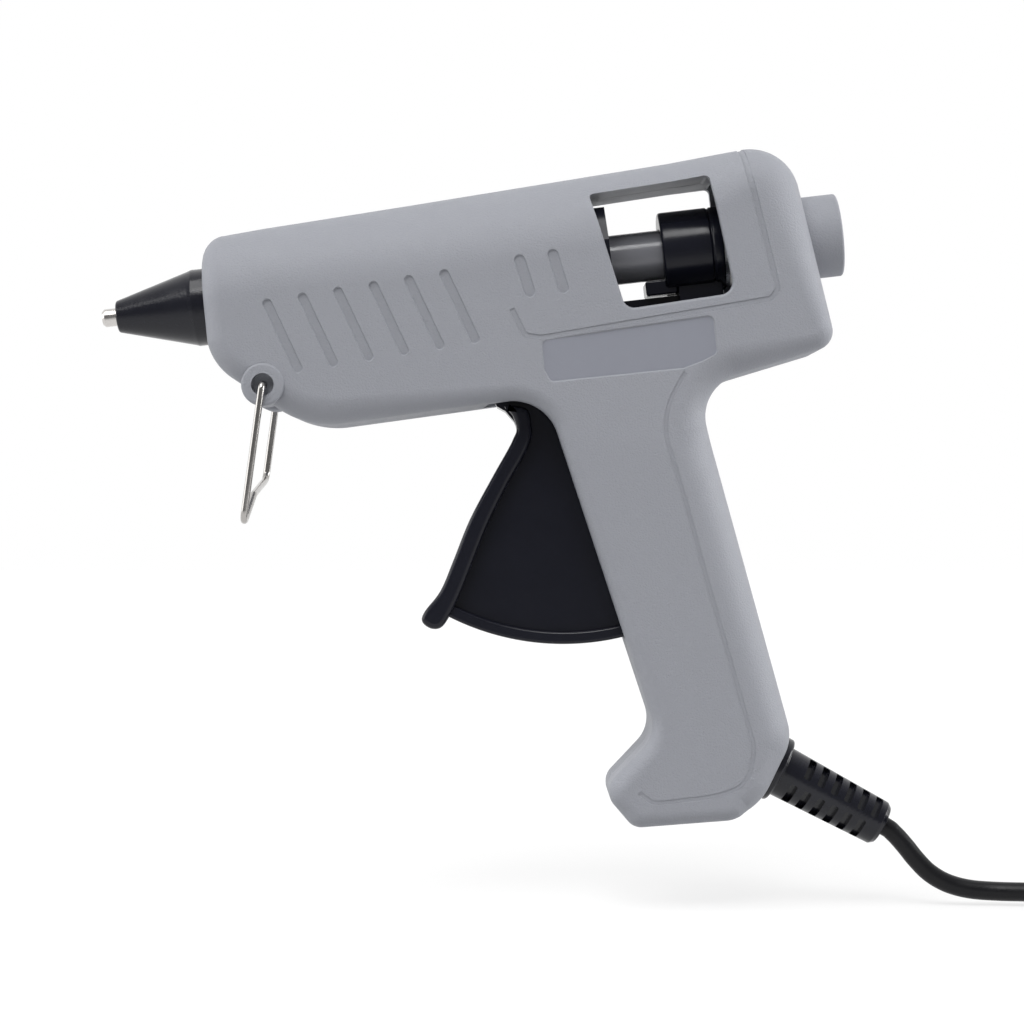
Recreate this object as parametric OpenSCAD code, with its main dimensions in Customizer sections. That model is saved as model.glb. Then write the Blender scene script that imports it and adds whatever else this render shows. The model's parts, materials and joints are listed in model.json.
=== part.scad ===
// Hot glue applicator with a trigger feed, a viewing window and a wire stand.
// All sizes are in millimetres. The tool is drawn with the glue stick's path along X,
// the nozzle toward -X and the grip's centre at the origin, and is then dipped by
// nose_dip about the grip. The cord is drawn in the dipped frame, where Z is up.

/* [Housing] */
// Angle by which the nose points down, in degrees
nose_dip = 6.5; // [4:0.5:9]
// Width of the barrel across both shells
body_w = 42; // [38:1:46]
// Wall of each shell
wall = 2.4; // [2:0.1:2.8]
// How much the handle's side leans in, per millimetre below the barrel
grip_taper = 0.043; // [0.02:0.001:0.06]
// Depth of the slots in the barrel's side
slot_depth = 0.8; // [0.4:0.1:1.2]
// Depth of the panel lines and of the label recess
line_depth = 0.5; // [0.3:0.1:0.8]

/* [Nozzle and heater] */
// Diameter of the metal tip
tip_d = 4.7; // [4.2:0.1:5]
// Diameter of the nozzle's outlet
outlet_d = 2; // [1.5:0.1:3]
// Diameter of the nozzle cover's collar
cover_d = 20.1; // [19:0.1:22]
// Diameter of the melt chamber
chamber_d = 22; // [20:0.5:23]

/* [Stick feed] */
// Bore that takes an 11.2 mm glue stick
stick_bore_d = 11.9; // [11.5:0.1:12.2]
// Outside of the guide tube
tube_d = 13.1; // [13:0.1:13.6]
// Outside of the inlet tube
inlet_d = 21.6; // [20:0.1:23]
// Outside of the carriage
carriage_d = 22; // [20:0.5:23]
// Swing of the trigger, in degrees
trigger_pull = 24; // [16:1:24]
// Length of the trigger's upper arm
arm_l = 18; // [17:0.5:18.5]

/* [Wire stand] */
// Diameter of the stand's wire
wire_d = 1.85; // [1.6:0.05:2]
// Length of the stand's near leg
near_leg = 36.5; // [30:0.1:40]
// Length of the stand's far leg
far_leg = 24; // [22:0.1:28]

/* [Cord] */
// Diameter of the cord
cord_d = 5; // [4.6:0.1:5.2]
// Distance between neighbouring turns of the coil
coil_pitch = 5.6; // [5.6:0.1:6]
// Turns in the coil, in four layers
coil_turns = 7.25; // [7.25:1:8.25]
// Least radius in the coil
coil_inner_r = 22.5; // [22:0.5:25]
// Diameter of a plug pin
pin_d = 4; // [3.6:0.1:4.8]

/* [Hidden] */
$fn = 64;
half_w = body_w / 2;
inner_w = half_w - wall;
gap = 0.3;
// Height of the glue stick's path above the grip's centre. The barrel's heights follow it.
feed_h = 82.8;

// Housing outline: [x, z, corner radius, edge rounding, is a fold point]
back_top = [10, feed_h - 36.3];
back_low = [24.9, -47];
heel_low = [14.8, -61.7];
front_top = [-28.9, feed_h - 33.9];
front_low = [-10.9, -37.6];
back_fold = back_top + 14.5 * (back_low - back_top) / norm(back_low - back_top);
front_fold = front_top + 14 * (front_low - front_top) / norm(front_low - front_top);
body = [
  [-113, feed_h + 16.2, 6.4, 6, 0],
  [-91.6, feed_h + 18.2, 0, 15, 0],
  [-59.9, feed_h + 20.1, 0, 18, 0],
  [9.7, feed_h + 23.4, 0, 17, 0],
  [41.4, feed_h + 24.2, 13, 11, 0],
  [46.8, feed_h - 29.4, 5, 4.4, 0],
  [back_top[0], back_top[1], 11, 8, 0],
  [back_fold[0], back_fold[1], 0, 9, 1],
  [back_low[0], back_low[1], 5, 3.6, 0],
  [heel_low[0], heel_low[1], 8, 4, 0],
  [7.2, -65.5, 5, 4, 0],
  [-18.8, -64.6, 4.6, 4.2, 0],
  [-24.2, -56.6, 5.2, 4.4, 0],
  [-24.2, -49.5, 6, 4.4, 0],
  [front_low[0], front_low[1], 6, 4, 0],
  [front_fold[0], front_fold[1], 0, 3.4, 1],
  [front_top[0], front_top[1], 12, 4, 0],
  [-90.5, feed_h - 36.3, 24, 7, 0],
  [-113.6, feed_h - 15.8, 15, 6, 0],
];
arc_steps = 7;
round_steps = 6;

// Window through the housing, as [x, z] corners
window = [
  [-12, feed_h + 15.8], [18.9, feed_h + 16.8], [22.1, feed_h - 11.2], [-6.4, feed_h - 12.4],
];
window_r = 3;
// The right shell's window reaches this much farther back
window_more = 2.4;
// Screws that join the shells: [x, z, where the head sits]
screws = [
  [-84, feed_h - 27.4, 2.8],
  [-46, feed_h - 25.8, 2.8],
  [37.1, feed_h - 19.8, 2.8],
  [6, -30, 5.6],
  [-13, -55.5, 7.2],
  [31, feed_h + 16.7, 4.8],
];
nozzle_d = 9;
neck_d = 16;
screw_d = 2.9;
head_d = 5.6;
boss_r = 4.4;

// Slanted slots: lower and upper end of the first and the step to the next
slot_top = [-96.9, feed_h - 2.8];
slot_low = [-91, feed_h - 20.1];
slot_step = [9.16, 0.47];
slot_w = 2.4;
// Two short slots: upper and lower end
short_slots = [
  [[-31.6, feed_h + 1], [-29.9, feed_h - 7.4]],
  [[-23, feed_h + 1.4], [-21.3, feed_h - 7.4]],
];
// Panel line and label recess below the window, as heights from the stick's path
panel_line = [
  for (p = [[-35, -11.2], [-32.4, -18.3], [-28.4, -19.4], [31, -16.1], [33, -13.9], [32.4, -8.6], [30.4, 7.2]])
    [p[0], feed_h + p[1]]
];
label = [
  for (p = [[-28.4, -20], [-28.6, -27.6], [-27.2, -30.9], [6.9, -31.3], [11.8, -30.1], [16, -28.5], [16, -18.6]])
    [p[0], feed_h + p[1]]
];

// Trigger
pivot = [-24, feed_h - 32.8];
rim_r = 66;
swing_half = trigger_pull / 2;
arm_end = [pivot[0] + arm_l * sin(swing_half), pivot[1] + arm_l * cos(swing_half)];
arm_up = [sin(swing_half), cos(swing_half)];
arm_side = [cos(swing_half), -sin(swing_half)];
// Finger bar of the trigger, as places from the pivot: down its front and up its back
trigger_front = [
  [-15.6, -2.4], [-13.9, -5], [-13.2, -8.7], [-14.4, -11.2], [-16, -13.7], [-21.3, -21],
  [-28, -30.8], [-33.4, -40.8], [-37.6, -48.2], [-42.2, -53], [-43.2, -55.6], [-41, -57.7],
];
trigger_back = [
  [-38, -57.4], [-34.6, -53], [-31.6, -48], [-28.4, -42], [-23.2, -32.4], [-17, -22.8], [-12, -16],
  [-9.6, -11.5], [-9.2, -7], [-10.2, -3.6],
];
pin_hole = 0.08;

// Wire stand
stand_at = [-100.4, feed_h - 23.2];
stand_lean = 14.2;
stand_y = half_w + 0.6 + gap + wire_d / 2;

// Nozzle, chamber and feed pieces along X
tip_x = [-142, -141.4, -136, -131, -108.2, -101.2];
cover_x = [-138.1, -136.4, -131.2, -117.8, -115.6, -108.4];
chamber_x = [-108, -102, -56, -46];
ring_x = [-100.5, -61.5];
ring_l = 5;
ring_d = 30;
heater_x = [-90, -64];
heater_h = feed_h - 18;
sleeve_x = [-55.6, -45, -32];
tube_x = -44;
tube_end = 12;
carriage_x = 5.7;
carriage_l = 16;
lug_x = 13.5;
link_z = arm_end[1];
plate_x = [-11.2, 24.2];
inlet_x = [36, 52.8];

// Cord guard: where its axis leaves the heel, and its slope below X
heel = (back_low + heel_low) / 2;
guard_slope = 34.5;
guard_l = 32.4;

// Cord route from the guard to the coil, as [x, y, z] in the dipped frame
floor_z = -88;
cord_z = floor_z + 1 + cord_d / 2;
coil_n = 24;
layer_turns = coil_turns / 4;
coil_r = coil_inner_r + coil_pitch * layer_turns;
coil_at = [137, 12, cord_z];
coil_top = 3 * coil_pitch;
guard_end = dipped(heel[0] + guard_l * cos(guard_slope), 0, heel[1] - guard_l * sin(guard_slope));
cord_start = dipped(heel[0] - 20 * cos(guard_slope), 0, heel[1] + 20 * sin(guard_slope));
cord_path = [
  cord_start,
  guard_end,
  [57.6, 0, -69.2],
  [60.6, 0, -72.5],
  [63.5, 0, -76.1],
  [67, 0, -79.6],
  [71.6, 0, -82.3],
  [77.4, 0, -83.9],
  [85, -0.2, cord_z],
  [96, -2.4, cord_z],
  [106, -7.4, cord_z],
  [116, -13.2, cord_z],
  [124, -17.6, cord_z],
  [131, -20.2, cord_z],
  coil_at + [-0.7, -coil_r, 0],
];
// Turns: inward, outward, inward and outward again, up a layer in each half turn between
coil_path = [
  for (i = [0 : coil_n * coil_turns])
    let (t = i / coil_n, a = 360 * t - 90)
    let (r = coil_inner_r + coil_pitch * abs(t % (2 * layer_turns) - layer_turns))
    let (climbs = [for (k = [1 : 3]) max(0, min(1, (t - k * layer_turns) * 2 + 0.5))])
    coil_at + [r * cos(a), r * sin(a), coil_pitch * (climbs[0] + climbs[1] + climbs[2])]
];
// The tail turns back over the coil to the plug, which lies on the top layer
plug_h = 7;
tail_r = 20.3;
// Plug pins: distance apart, free length and the thinner root in the plug
pin_step = 19;
pin_l = 18.7;
root_d = 3.2;
tail_rise = [0.2, 1.6, 4.8, 8, 9.4, 9.5, 9.5];
plug_at = coil_at + [coil_r - 2 * tail_r, 0, coil_top + cord_d / 2 + plug_h];
tail_path = concat(
  [coil_at + [coil_r, 0.7, coil_top]],
  [for (k = [0 : 6])
    coil_at + [coil_r - tail_r + tail_r * cos(30 * k), 4 + tail_r * sin(30 * k), coil_top + tail_rise[k]]],
  [plug_at + [0, 2, 0]]
);

// Heater leads inside the housing, drawn for the +Y side
lead_d = 2.2;
lead_path = [
  [heel[0] - 21.3 * cos(guard_slope), 1.4, heel[1] + 21.3 * sin(guard_slope)],
  [-0.6, 3, -40.4],
  [-3.4, 7, -33],
  [-4, 11, -22],
  [-3.4, 12.4, -6],
  [-3, 12.5, 16],
  [-4, 12.5, 38],
  [-8.4, 12.5, heater_h - 11.8],
  [-20, 12.5, heater_h - 3.8],
  [-36, 12.2, heater_h - 1.4],
  [-44, 9, heater_h - 0.2],
  [-49, 4.8, heater_h],
  [-52.4, 4, heater_h],
  [-57, 4, heater_h],
];

// Return spring: a hook through the link's tail, the turns, a hook over a screw boss
spring_r = 2.6;
spring_wire = 0.9;
spring_n = 8;
spring_z = link_z - 1.2;
spring_x = [23.4, 31.2];
spring_path = concat(
  [[19.8, -3.4, spring_z], [19.8, 0, spring_z], [19.8, 3, spring_z], [21.2, 3.8, spring_z]],
  [for (i = [0 : spring_n * 9])
    let (a = 40 * i)
    [
      spring_x[0] + (spring_x[1] - spring_x[0]) * i / (spring_n * 9),
      spring_r * cos(a),
      spring_z + spring_r * sin(a),
    ]],
  [[32.2, 1.4, spring_z + 0.3]],
  [for (a = [140 : -30 : -40]) [screws[2][0] + 5.2 * cos(a), 0, screws[2][1] + 5.2 * sin(a)]]
);

// The dipped place of a point of the tool
function dipped(x, y, z) =
  [x * cos(nose_dip) - z * sin(nose_dip), y, x * sin(nose_dip) + z * cos(nose_dip)];

function unit(v) = v / norm(v);

// Arc of one corner of an outline, as [x, z, outward x, outward z, edge rounding, fold]
function corner_arc(c, i) =
  let (n = len(c))
  let (p = [c[i][0], c[i][1]], a = c[(i + n - 1) % n], b = c[(i + 1) % n])
  let (u = unit(p - [a[0], a[1]]), v = unit([b[0], b[1]] - p))
  let (turn = atan2(u[0] * v[1] - u[1] * v[0], u[0] * v[0] + u[1] * v[1]))
  let (r = c[i][2], s = turn < 0 ? 1 : -1, start = atan2(u[0], -u[1]))
  let (centre = p - r * tan(abs(turn) / 2) * u - s * r * [cos(start), sin(start)])
  let (steps = r > 0 ? arc_steps : 0)
  [for (k = [0 : steps])
    let (d = start + (steps > 0 ? turn * k / steps : 0), o = [cos(d), sin(d)])
    let (q = r > 0 ? centre + s * r * o : p)
    [q[0], q[1], o[0], o[1], c[i][3], c[i][4]]];

body_points = [for (i = [0 : len(body) - 1]) each corner_arc(body, i)];

// Half of a rounded body on the +Y side: outline inset by skin, half width w
module half_body(skin, w, steps) {
  pts = body_points;
  n = len(pts);
  folds = [for (i = [0 : n - 1]) if (pts[i][5] == 1) i];
  soft = [for (p = pts) max(p[4] - skin, 0.6)];
  top = [for (i = [0 : n - 1]) [pts[i][0], pts[i][1]] - (skin + soft[i]) * [pts[i][2], pts[i][3]]];
  across = unit(top[folds[0]] - top[folds[1]]);
  down = [across[1], -across[0]];
  high = [for (p = top) w - grip_taper * max(0, (p - top[folds[0]]) * down)];
  rows = concat([[0, 0]], [for (k = [0 : steps]) [sin(90 * k / steps), 1 - cos(90 * k / steps)]]);
  verts = [
    for (k = [0 : steps + 1])
      for (i = [0 : n - 1])
        let (d = skin + soft[i] * rows[k][1])
        let (y = k == 0 ? 0 : high[i] - soft[i] + soft[i] * rows[k][0])
        [pts[i][0] - d * pts[i][2], y, pts[i][1] - d * pts[i][3]]
  ];
  last = (steps + 1) * n;
  sides = [
    for (k = [0 : steps])
      for (i = [0 : n - 1])
        let (j = (i + 1) % n)
        each [[k * n + i, (k + 1) * n + i, (k + 1) * n + j], [k * n + i, (k + 1) * n + j, k * n + j]]
  ];
  grip_cap = [for (i = [folds[1] : -1 : folds[0]]) last + i];
  barrel_cap = concat(
    [for (i = [folds[0] : -1 : 0]) last + i],
    [for (i = [n - 1 : -1 : folds[1]]) last + i]
  );
  polyhedron(verts, concat([[for (i = [0 : n - 1]) i]], sides, [grip_cap, barrel_cap]), convexity = 8);
}

// Tube along a list of points
function lean(p, i) = unit(p[min(i + 1, len(p) - 1)] - p[max(i - 1, 0)]);
function flat(u, t) = unit(u - (u * t) * t);
module sweep(path, d, sides) {
  n = len(path);
  first = flat(abs(lean(path, 0)[2]) < 0.8 ? [0, 0, 1] : [0, 1, 0], lean(path, 0));
  ups = [for (i = 0, u = first; i < n; i = i + 1, u = flat(u, lean(path, min(i, n - 1)))) u];
  verts = [
    for (i = [0 : n - 1])
      let (t = lean(path, i), v = cross(t, ups[i]))
      for (k = [0 : sides - 1])
        path[i] + d / 2 * (cos(360 * k / sides) * ups[i] + sin(360 * k / sides) * v)
  ];
  walls = [
    for (i = [0 : n - 2])
      for (k = [0 : sides - 1])
        let (m = (k + 1) % sides, a = i * sides, b = a + sides)
        each [[a + k, b + m, a + m], [a + k, b + k, b + m]]
  ];
  ends = [[for (k = [0 : sides - 1]) k], [for (k = [sides - 1 : -1 : 0]) (n - 1) * sides + k]];
  polyhedron(verts, concat(walls, ends), convexity = 10);
}

// Tool pieces are drawn level and shown dipped
module dip() {
  rotate([0, -nose_dip, 0]) children();
}

// Cone or cylinder on the stick's axis
module on_axis(x0, x1, d0, d1) {
  translate([x0, 0, feed_h])
    rotate([0, 90, 0])
      cylinder(d1 = d0, d2 = d1, h = x1 - x0);
}

// Cylinder across the tool
module across(at, y0, y1, d) {
  translate([at[0], y0, at[1]])
    rotate([-90, 0, 0])
      cylinder(d = d, h = y1 - y0);
}

// Plate across the tool with a side outline
module plate(points, y0, y1) {
  translate([0, y1, 0])
    rotate([90, 0, 0])
      linear_extrude(y1 - y0)
        polygon(points);
}

// Round-ended bar along two points, across y0 to y1
module bar(a, b, d, y0, y1) {
  across(a, y0, y1, d);
  across(b, y0, y1, d);
  translate([a[0], 0, a[1]])
    rotate([0, -atan2(b[1] - a[1], b[0] - a[0]), 0])
      translate([0, y0, -d / 2])
        cube([norm(b - a), y1 - y0, d]);
}

// Block given by two corners
module block(a, b) {
  translate(a)
    cube(b - a);
}

// Walls and posts inside one shell, drawn past the skin and trimmed by the cavity
module ribs() {
  difference() {
    union() {
      for (x = [ring_x[0], ring_x[1], 34.5])
        block([x, 0, feed_h - 43], [x + (x < 0 ? ring_l : 3.3), half_w, feed_h + 28]);
    }
    on_axis(-110, 30, ring_d + 2 * gap, ring_d + 2 * gap);
    on_axis(30, 50, inlet_d + 2 * gap, inlet_d + 2 * gap);
    block([-64, -1, feed_h - 24], [-54, 9, feed_h - 10]);
    block([30, -1, feed_h - 43], [45, 5.6, feed_h - 8.8]);
  }
  for (s = screws)
    across([s[0], s[1]], 0, half_w, 2 * boss_r);
  across(pivot, 10.2, half_w, 9);
  across(stand_at, 10, half_w, 11);
  plate([window[0] + [-2, 0], window[1] + [2, 0], window[1] + [2, 2], window[0] + [-2, 2]], 0, half_w);
}

// Everything but the round bores that is cut from both shells, on the +Y side
module openings(more) {
  translate([0, half_w + 5, 0])
    rotate([90, 0, 0])
      linear_extrude(half_w + 6)
        offset(r = window_r)
          offset(delta = -window_r)
            polygon(window + more * [[0, 0], [1, 0], [1, 0], [0, 0]]);
  trigger_slot();
  guard_hole();
  side_marks();
}

// Round bores of both shells, on the +Y side
module bores() {
  on_axis(-125, -104, neck_d + 0.4, neck_d + 0.4);
  on_axis(39, 60, inlet_d + 0.2, inlet_d + 0.2);
  across(stand_at, half_w - 2.4, half_w + 5, 5.8);
  across(stand_at, 11.5, half_w, wire_d + pin_hole);
  across(pivot, 9, 17.6, 4 + pin_hole);
}

// Room for the trigger's swing in the front of the handle
module trigger_slot() {
  intersection() {
    across(pivot, -1, 10, 2 * rim_r + 1);
    plate([
      pivot + [6, 6],
      pivot + [-14, 1],
      pivot + [-70, -14],
      pivot + [-70, -80],
      pivot + [14, -80],
      pivot + [6, -8],
    ], -1, 10);
  }
}

// Neck and inner flange of the cord guard
module guard_hole() {
  on_guard(-2.9, 3, 10.3, 10.3);
  on_guard(-5.1, -2.8, 14.3, 14.3);
}

// Slots, panel line and label recess in the barrel's side
module side_marks() {
  for (i = [0 : 5])
    bar(slot_top + i * slot_step, slot_low + i * slot_step, slot_w, half_w - slot_depth, half_w + 3);
  for (s = short_slots)
    bar(s[0], s[1], slot_w + 0.4, half_w - slot_depth, half_w + 3);
  for (i = [0 : len(panel_line) - 2])
    bar(panel_line[i], panel_line[i + 1], 1.6, half_w - line_depth, half_w + 3);
  plate(label, half_w - line_depth, half_w + 3);
}

// Cone or cylinder on the cord guard's axis, from the heel outward
module on_guard(s0, s1, d0, d1) {
  translate([heel[0], 0, heel[1]])
    rotate([0, 90 + guard_slope, 0])
      translate([0, 0, s0])
        cylinder(d1 = d0, d2 = d1, h = s1 - s0);
}

// One shell without its round bores, on the +Y side. A resize to zero keeps every
// size, and makes the rounded skin and what is cut from it one mesh.
module shell_half(more) {
  $fn = 32;
  resize([0, 0, 0])
    difference() {
      union() {
        difference() {
          half_body(0, half_w, round_steps);
          difference() {
            half_body(wall, inner_w, 3);
            ribs();
          }
        }
        across(stand_at, 10, half_w + 0.6, 11);
      }
      openings(more);
    }
}

module left_shell() {
  color("#8f9298")
    mirror([0, 1, 0])
      difference() {
        shell_half(0);
        bores();
        for (s = screws)
          across([s[0], s[1]], -1, 11, screw_d + 0.1);
      }
}

module right_shell() {
  color("#8f9298")
    difference() {
      shell_half(window_more);
      bores();
      for (s = screws) {
        across([s[0], s[1]], -1, half_w, screw_d + 0.4);
        across([s[0], s[1]], half_w - s[2], half_w + 3, head_d + 0.6);
      }
    }
}

module shell_screws() {
  color("#b8bcc0")
    for (s = screws) {
      across([s[0], s[1]], -10, half_w - s[2] + 0.5, screw_d);
      difference() {
        across([s[0], s[1]], half_w - s[2], half_w - s[2] + 2, head_d);
        block([s[0] - 1.6, half_w - s[2] + 1, s[1] - 0.4], [s[0] + 1.6, half_w, s[1] + 0.4]);
        block([s[0] - 0.4, half_w - s[2] + 1, s[1] - 1.6], [s[0] + 0.4, half_w, s[1] + 1.6]);
      }
    }
}

module inlet_tube() {
  color("#8f9298")
    difference() {
      union() {
        on_axis(inlet_x[0], inlet_x[1], inlet_d, inlet_d);
        on_axis(38.1, 39.8, inlet_d + 3.4, inlet_d + 3.4);
      }
      on_axis(inlet_x[0] - 1, inlet_x[1] + 1, stick_bore_d, stick_bore_d);
      on_axis(inlet_x[1] - 1.2, inlet_x[1] + 0.01, stick_bore_d, stick_bore_d + 2.4);
    }
}

module nozzle() {
  color("#c8c4b8")
    difference() {
      union() {
        on_axis(tip_x[0], tip_x[1], tip_d - 1.2, tip_d);
        on_axis(tip_x[1], tip_x[2], tip_d, tip_d);
        on_axis(tip_x[2], tip_x[3], tip_d, nozzle_d);
        on_axis(tip_x[3], tip_x[4], nozzle_d, nozzle_d);
        on_axis(tip_x[4], tip_x[5], nozzle_d - 1, nozzle_d - 1);
      }
      on_axis(tip_x[0] - 1, tip_x[5] + 1, outlet_d, outlet_d);
    }
}

module nozzle_cover() {
  color("#26272b")
    difference() {
      union() {
        on_axis(cover_x[0], cover_x[3], tip_d + 3.5, cover_d);
        on_axis(cover_x[3], cover_x[4], cover_d, cover_d);
        on_axis(cover_x[4], cover_x[5], neck_d, neck_d);
      }
      on_axis(cover_x[0] - 1, cover_x[1], tip_d + 0.5, tip_d + 0.5);
      on_axis(cover_x[1] - 0.1, cover_x[2], tip_d + 0.5, nozzle_d + 0.4);
      on_axis(cover_x[2] - 0.1, cover_x[5] + 1, nozzle_d + 0.4, nozzle_d + 0.4);
    }
}

module melt_chamber() {
  bore = stick_bore_d + 0.3;
  color("#b4b6ba")
    difference() {
      union() {
        on_axis(chamber_x[0], chamber_x[1], neck_d, neck_d);
        on_axis(chamber_x[1], chamber_x[2], chamber_d, chamber_d);
        on_axis(chamber_x[2], chamber_x[3], bore + 2.8, bore + 2.8);
        block([heater_x[0] - 4, -9, feed_h - 21.6], [heater_x[1] + 1.6, 9, feed_h - 6]);
      }
      on_axis(chamber_x[0] - 1, tip_x[5] + 0.2, nozzle_d - 0.9, nozzle_d - 0.9);
      on_axis(chamber_x[1], chamber_x[1] + 2.1, 4, 4);
      on_axis(chamber_x[1] + 2, chamber_x[1] + 10, 4, bore);
      on_axis(chamber_x[1] + 9.9, chamber_x[3] + 1, bore, bore);
      block([heater_x[0] - 1, -7, feed_h - 19.8], [heater_x[1] + 4, 7, feed_h - 14.6]);
    }
}

module chamber_rings() {
  color("#d8d2c4")
    for (x = ring_x)
      difference() {
        on_axis(x, x + ring_l, ring_d, ring_d);
        on_axis(x - 1, x + ring_l + 1, chamber_d + 0.1, chamber_d + 0.1);
      }
}

module heater() {
  color("#e6e2da")
    block([heater_x[0], -6.8, feed_h - 19.7], [heater_x[1], 6.8, feed_h - 16]);
  color("#c8a860")
    for (y = [-4, 4])
      block([heater_x[1] - 0.5, y - 0.8, heater_h - 0.4], [heater_x[1] + 6, y + 0.8, heater_h + 0.4]);
}

module heater_clip() {
  color("#9aa0a6")
    block([heater_x[0] - 0.5, -6, feed_h - 15.9], [heater_x[1] + 1, 6, feed_h - 14.8]);
}

module lead_crimps() {
  color("#c8ccd0")
    for (y = [-4, 4])
      translate([heater_x[1] + 4, y, heater_h])
        rotate([0, 90, 0])
          difference() {
            cylinder(d = lead_d + 1.2, h = 5.6);
            translate([0, 0, -1])
              cylinder(d = lead_d + 0.3, h = 8);
          }
}

module heater_leads() {
  color("#7a4a3a")
    sweep(lead_path, lead_d, 8);
  color("#3a5a8a")
    mirror([0, 1, 0])
      sweep(lead_path, lead_d, 8);
}

module inlet_sleeve() {
  neck = stick_bore_d + 3.1;
  color("#b8503c")
    difference() {
      union() {
        on_axis(sleeve_x[0], sleeve_x[1], neck + 4, neck + 4);
        on_axis(sleeve_x[1], sleeve_x[2], tube_d + 4.3, tube_d + 4.3);
      }
      on_axis(sleeve_x[0] - 1, chamber_x[3] + 0.1, neck + 0.1, neck + 0.1);
      on_axis(chamber_x[3], sleeve_x[2] + 1, tube_d + 0.1, tube_d + 0.1);
    }
}

module sleeve_clip() {
  color("#c8ccd0")
    translate([sleeve_x[0] + 4.6, 0, feed_h])
      rotate([0, 90, 0])
        rotate_extrude()
          translate([(stick_bore_d + 7.1) / 2 + 0.75, 0])
            circle(d = 1.4);
}

module guide_tube() {
  color("#5c5e64")
    difference() {
      on_axis(tube_x, tube_end, tube_d, tube_d);
      on_axis(tube_x - 1, tube_end + 1, stick_bore_d, stick_bore_d);
    }
}

// Black plate between the shells with a hole on the stick's axis
module feed_plate(x, hole) {
  color("#1c1d20")
    difference() {
      translate([x, 0, feed_h])
        rotate([90, 0, 90])
          linear_extrude(3)
            polygon([
              [-inner_w + 0.2, -9], [inner_w - 0.2, -9], [inner_w - 0.2, 4],
              [inner_w - 7, 13], [-inner_w + 7, 13], [-inner_w + 0.2, 4],
            ]);
      on_axis(x - 1, x + 4, hole, hole);
    }
}

module front_plate() {
  feed_plate(plate_x[0], tube_d + 0.2);
}

module rear_plate() {
  feed_plate(plate_x[1], stick_bore_d + 0.6);
}

module carriage() {
  color("#17181b")
    difference() {
      union() {
        on_axis(carriage_x, carriage_x + carriage_l, carriage_d, carriage_d);
        for (y = [-6, 2.8])
          block([9, y, link_z - 3.6], [18, y + 3.2, feed_h - 8.6]);
        block([0.5, -6, feed_h - 10.8], [carriage_x + 3, 6, feed_h - 7]);
      }
      on_axis(carriage_x - 1, carriage_x + 14.7, tube_d + 2 * gap, tube_d + 2 * gap);
      on_axis(carriage_x, carriage_x + carriage_l + 1, stick_bore_d + 0.5, stick_bore_d + 0.5);
      across([lug_x, link_z], -7, 7, 3 + pin_hole);
      for (y = [-8.9, 8.9])
        translate([16, y, feed_h])
          rotate([0, 90, 0])
            cylinder(d = 1.7, h = 8);
    }
}

module grip_plate() {
  color("#a8adb2")
    difference() {
      on_axis(carriage_x + carriage_l, carriage_x + carriage_l + 0.9, carriage_d - 1, carriage_d - 1);
      on_axis(carriage_x, 30, stick_bore_d - 0.2, stick_bore_d - 0.2);
      for (y = [-8.9, 8.9])
        translate([16, y, feed_h])
          rotate([0, 90, 0])
            cylinder(d = 1.7, h = 10);
    }
}

module grip_screws() {
  color("#c8ccd0")
    for (y = [-8.9, 8.9])
      translate([0, y, feed_h])
        rotate([0, 90, 0]) {
          translate([0, 0, 17])
            cylinder(d = 1.6, h = carriage_x + carriage_l - 16);
          translate([0, 0, carriage_x + carriage_l + 0.9])
            cylinder(d = 2.8, h = 0.8);
        }
}

module feed_link() {
  color("#17181b")
    difference() {
      union() {
        bar(arm_end, [lug_x, link_z], 8, -2.5, 2.5);
        block([lug_x, -1.5, link_z - 2.8], [21.3, 1.5, link_z + 0.4]);
      }
      block([arm_end[0] - 1.6, -3, link_z - 1.6], [arm_end[0] + 1.6, 3, link_z + 2.1]);
      across([lug_x, link_z], -3, 3, 3 + pin_hole);
      across([19.8, spring_z], -3, 3, spring_wire + 0.8);
    }
}

module link_pin() {
  color("#c8ccd0")
    across([lug_x, link_z], -6, 6, 3);
}

module return_spring() {
  color("#b8bcc0")
    sweep(spring_path, spring_wire, 6);
}

module trigger() {
  color("#202125")
    difference() {
      union() {
        plate([for (p = concat(trigger_front, trigger_back)) pivot + p], -11, 11);
        intersection() {
          across(pivot, -7, 7, 2 * rim_r - 2);
          plate([
            pivot + [-4, 2],
            pivot + [-12.6, 0.2],
            pivot + [-12.6, -6],
            pivot + [-12.5, -10],
            pivot + [-16, -17],
            pivot + [-30.4, -40.8],
            pivot + [-36, -52],
            pivot + [-36, -80],
            pivot + rim_r * [sin(12.2), -cos(12.2)] + [0, -8],
            pivot + rim_r * [sin(12.2), -cos(12.2)],
            pivot + [4, -6],
            pivot + [4, 2],
          ], -7, 7);
        }
        intersection() {
          difference() {
            across(pivot, -9.5, 9.5, 2 * rim_r);
            across(pivot, -10, 10, 2 * rim_r - 6.4);
          }
          plate([
            pivot,
            pivot + 80 * [sin(-36), -cos(-36)],
            pivot + 80 * [sin(11.8), -cos(11.8)],
          ], -10, 10);
        }
        across(pivot, -8, 8, 11);
        for (y = [-6.5, 3])
          plate([
            pivot - 3.6 * arm_side,
            pivot + 3.6 * arm_side,
            arm_end + 2.4 * arm_side + 3.4 * arm_up,
            arm_end - 2.4 * arm_side + 3.4 * arm_up,
          ], y, y + 3.5);
      }
      across(pivot, -12, 12, 4 + pin_hole);
      across(arm_end, -7, 7, 2.6 + pin_hole);
    }
}

module arm_pin() {
  color("#c8ccd0")
    across(arm_end, -6.5, 6.5, 2.6);
}

module trigger_pin() {
  color("#c8ccd0")
    across(pivot, -17.4, 17.4, 4);
}

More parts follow.
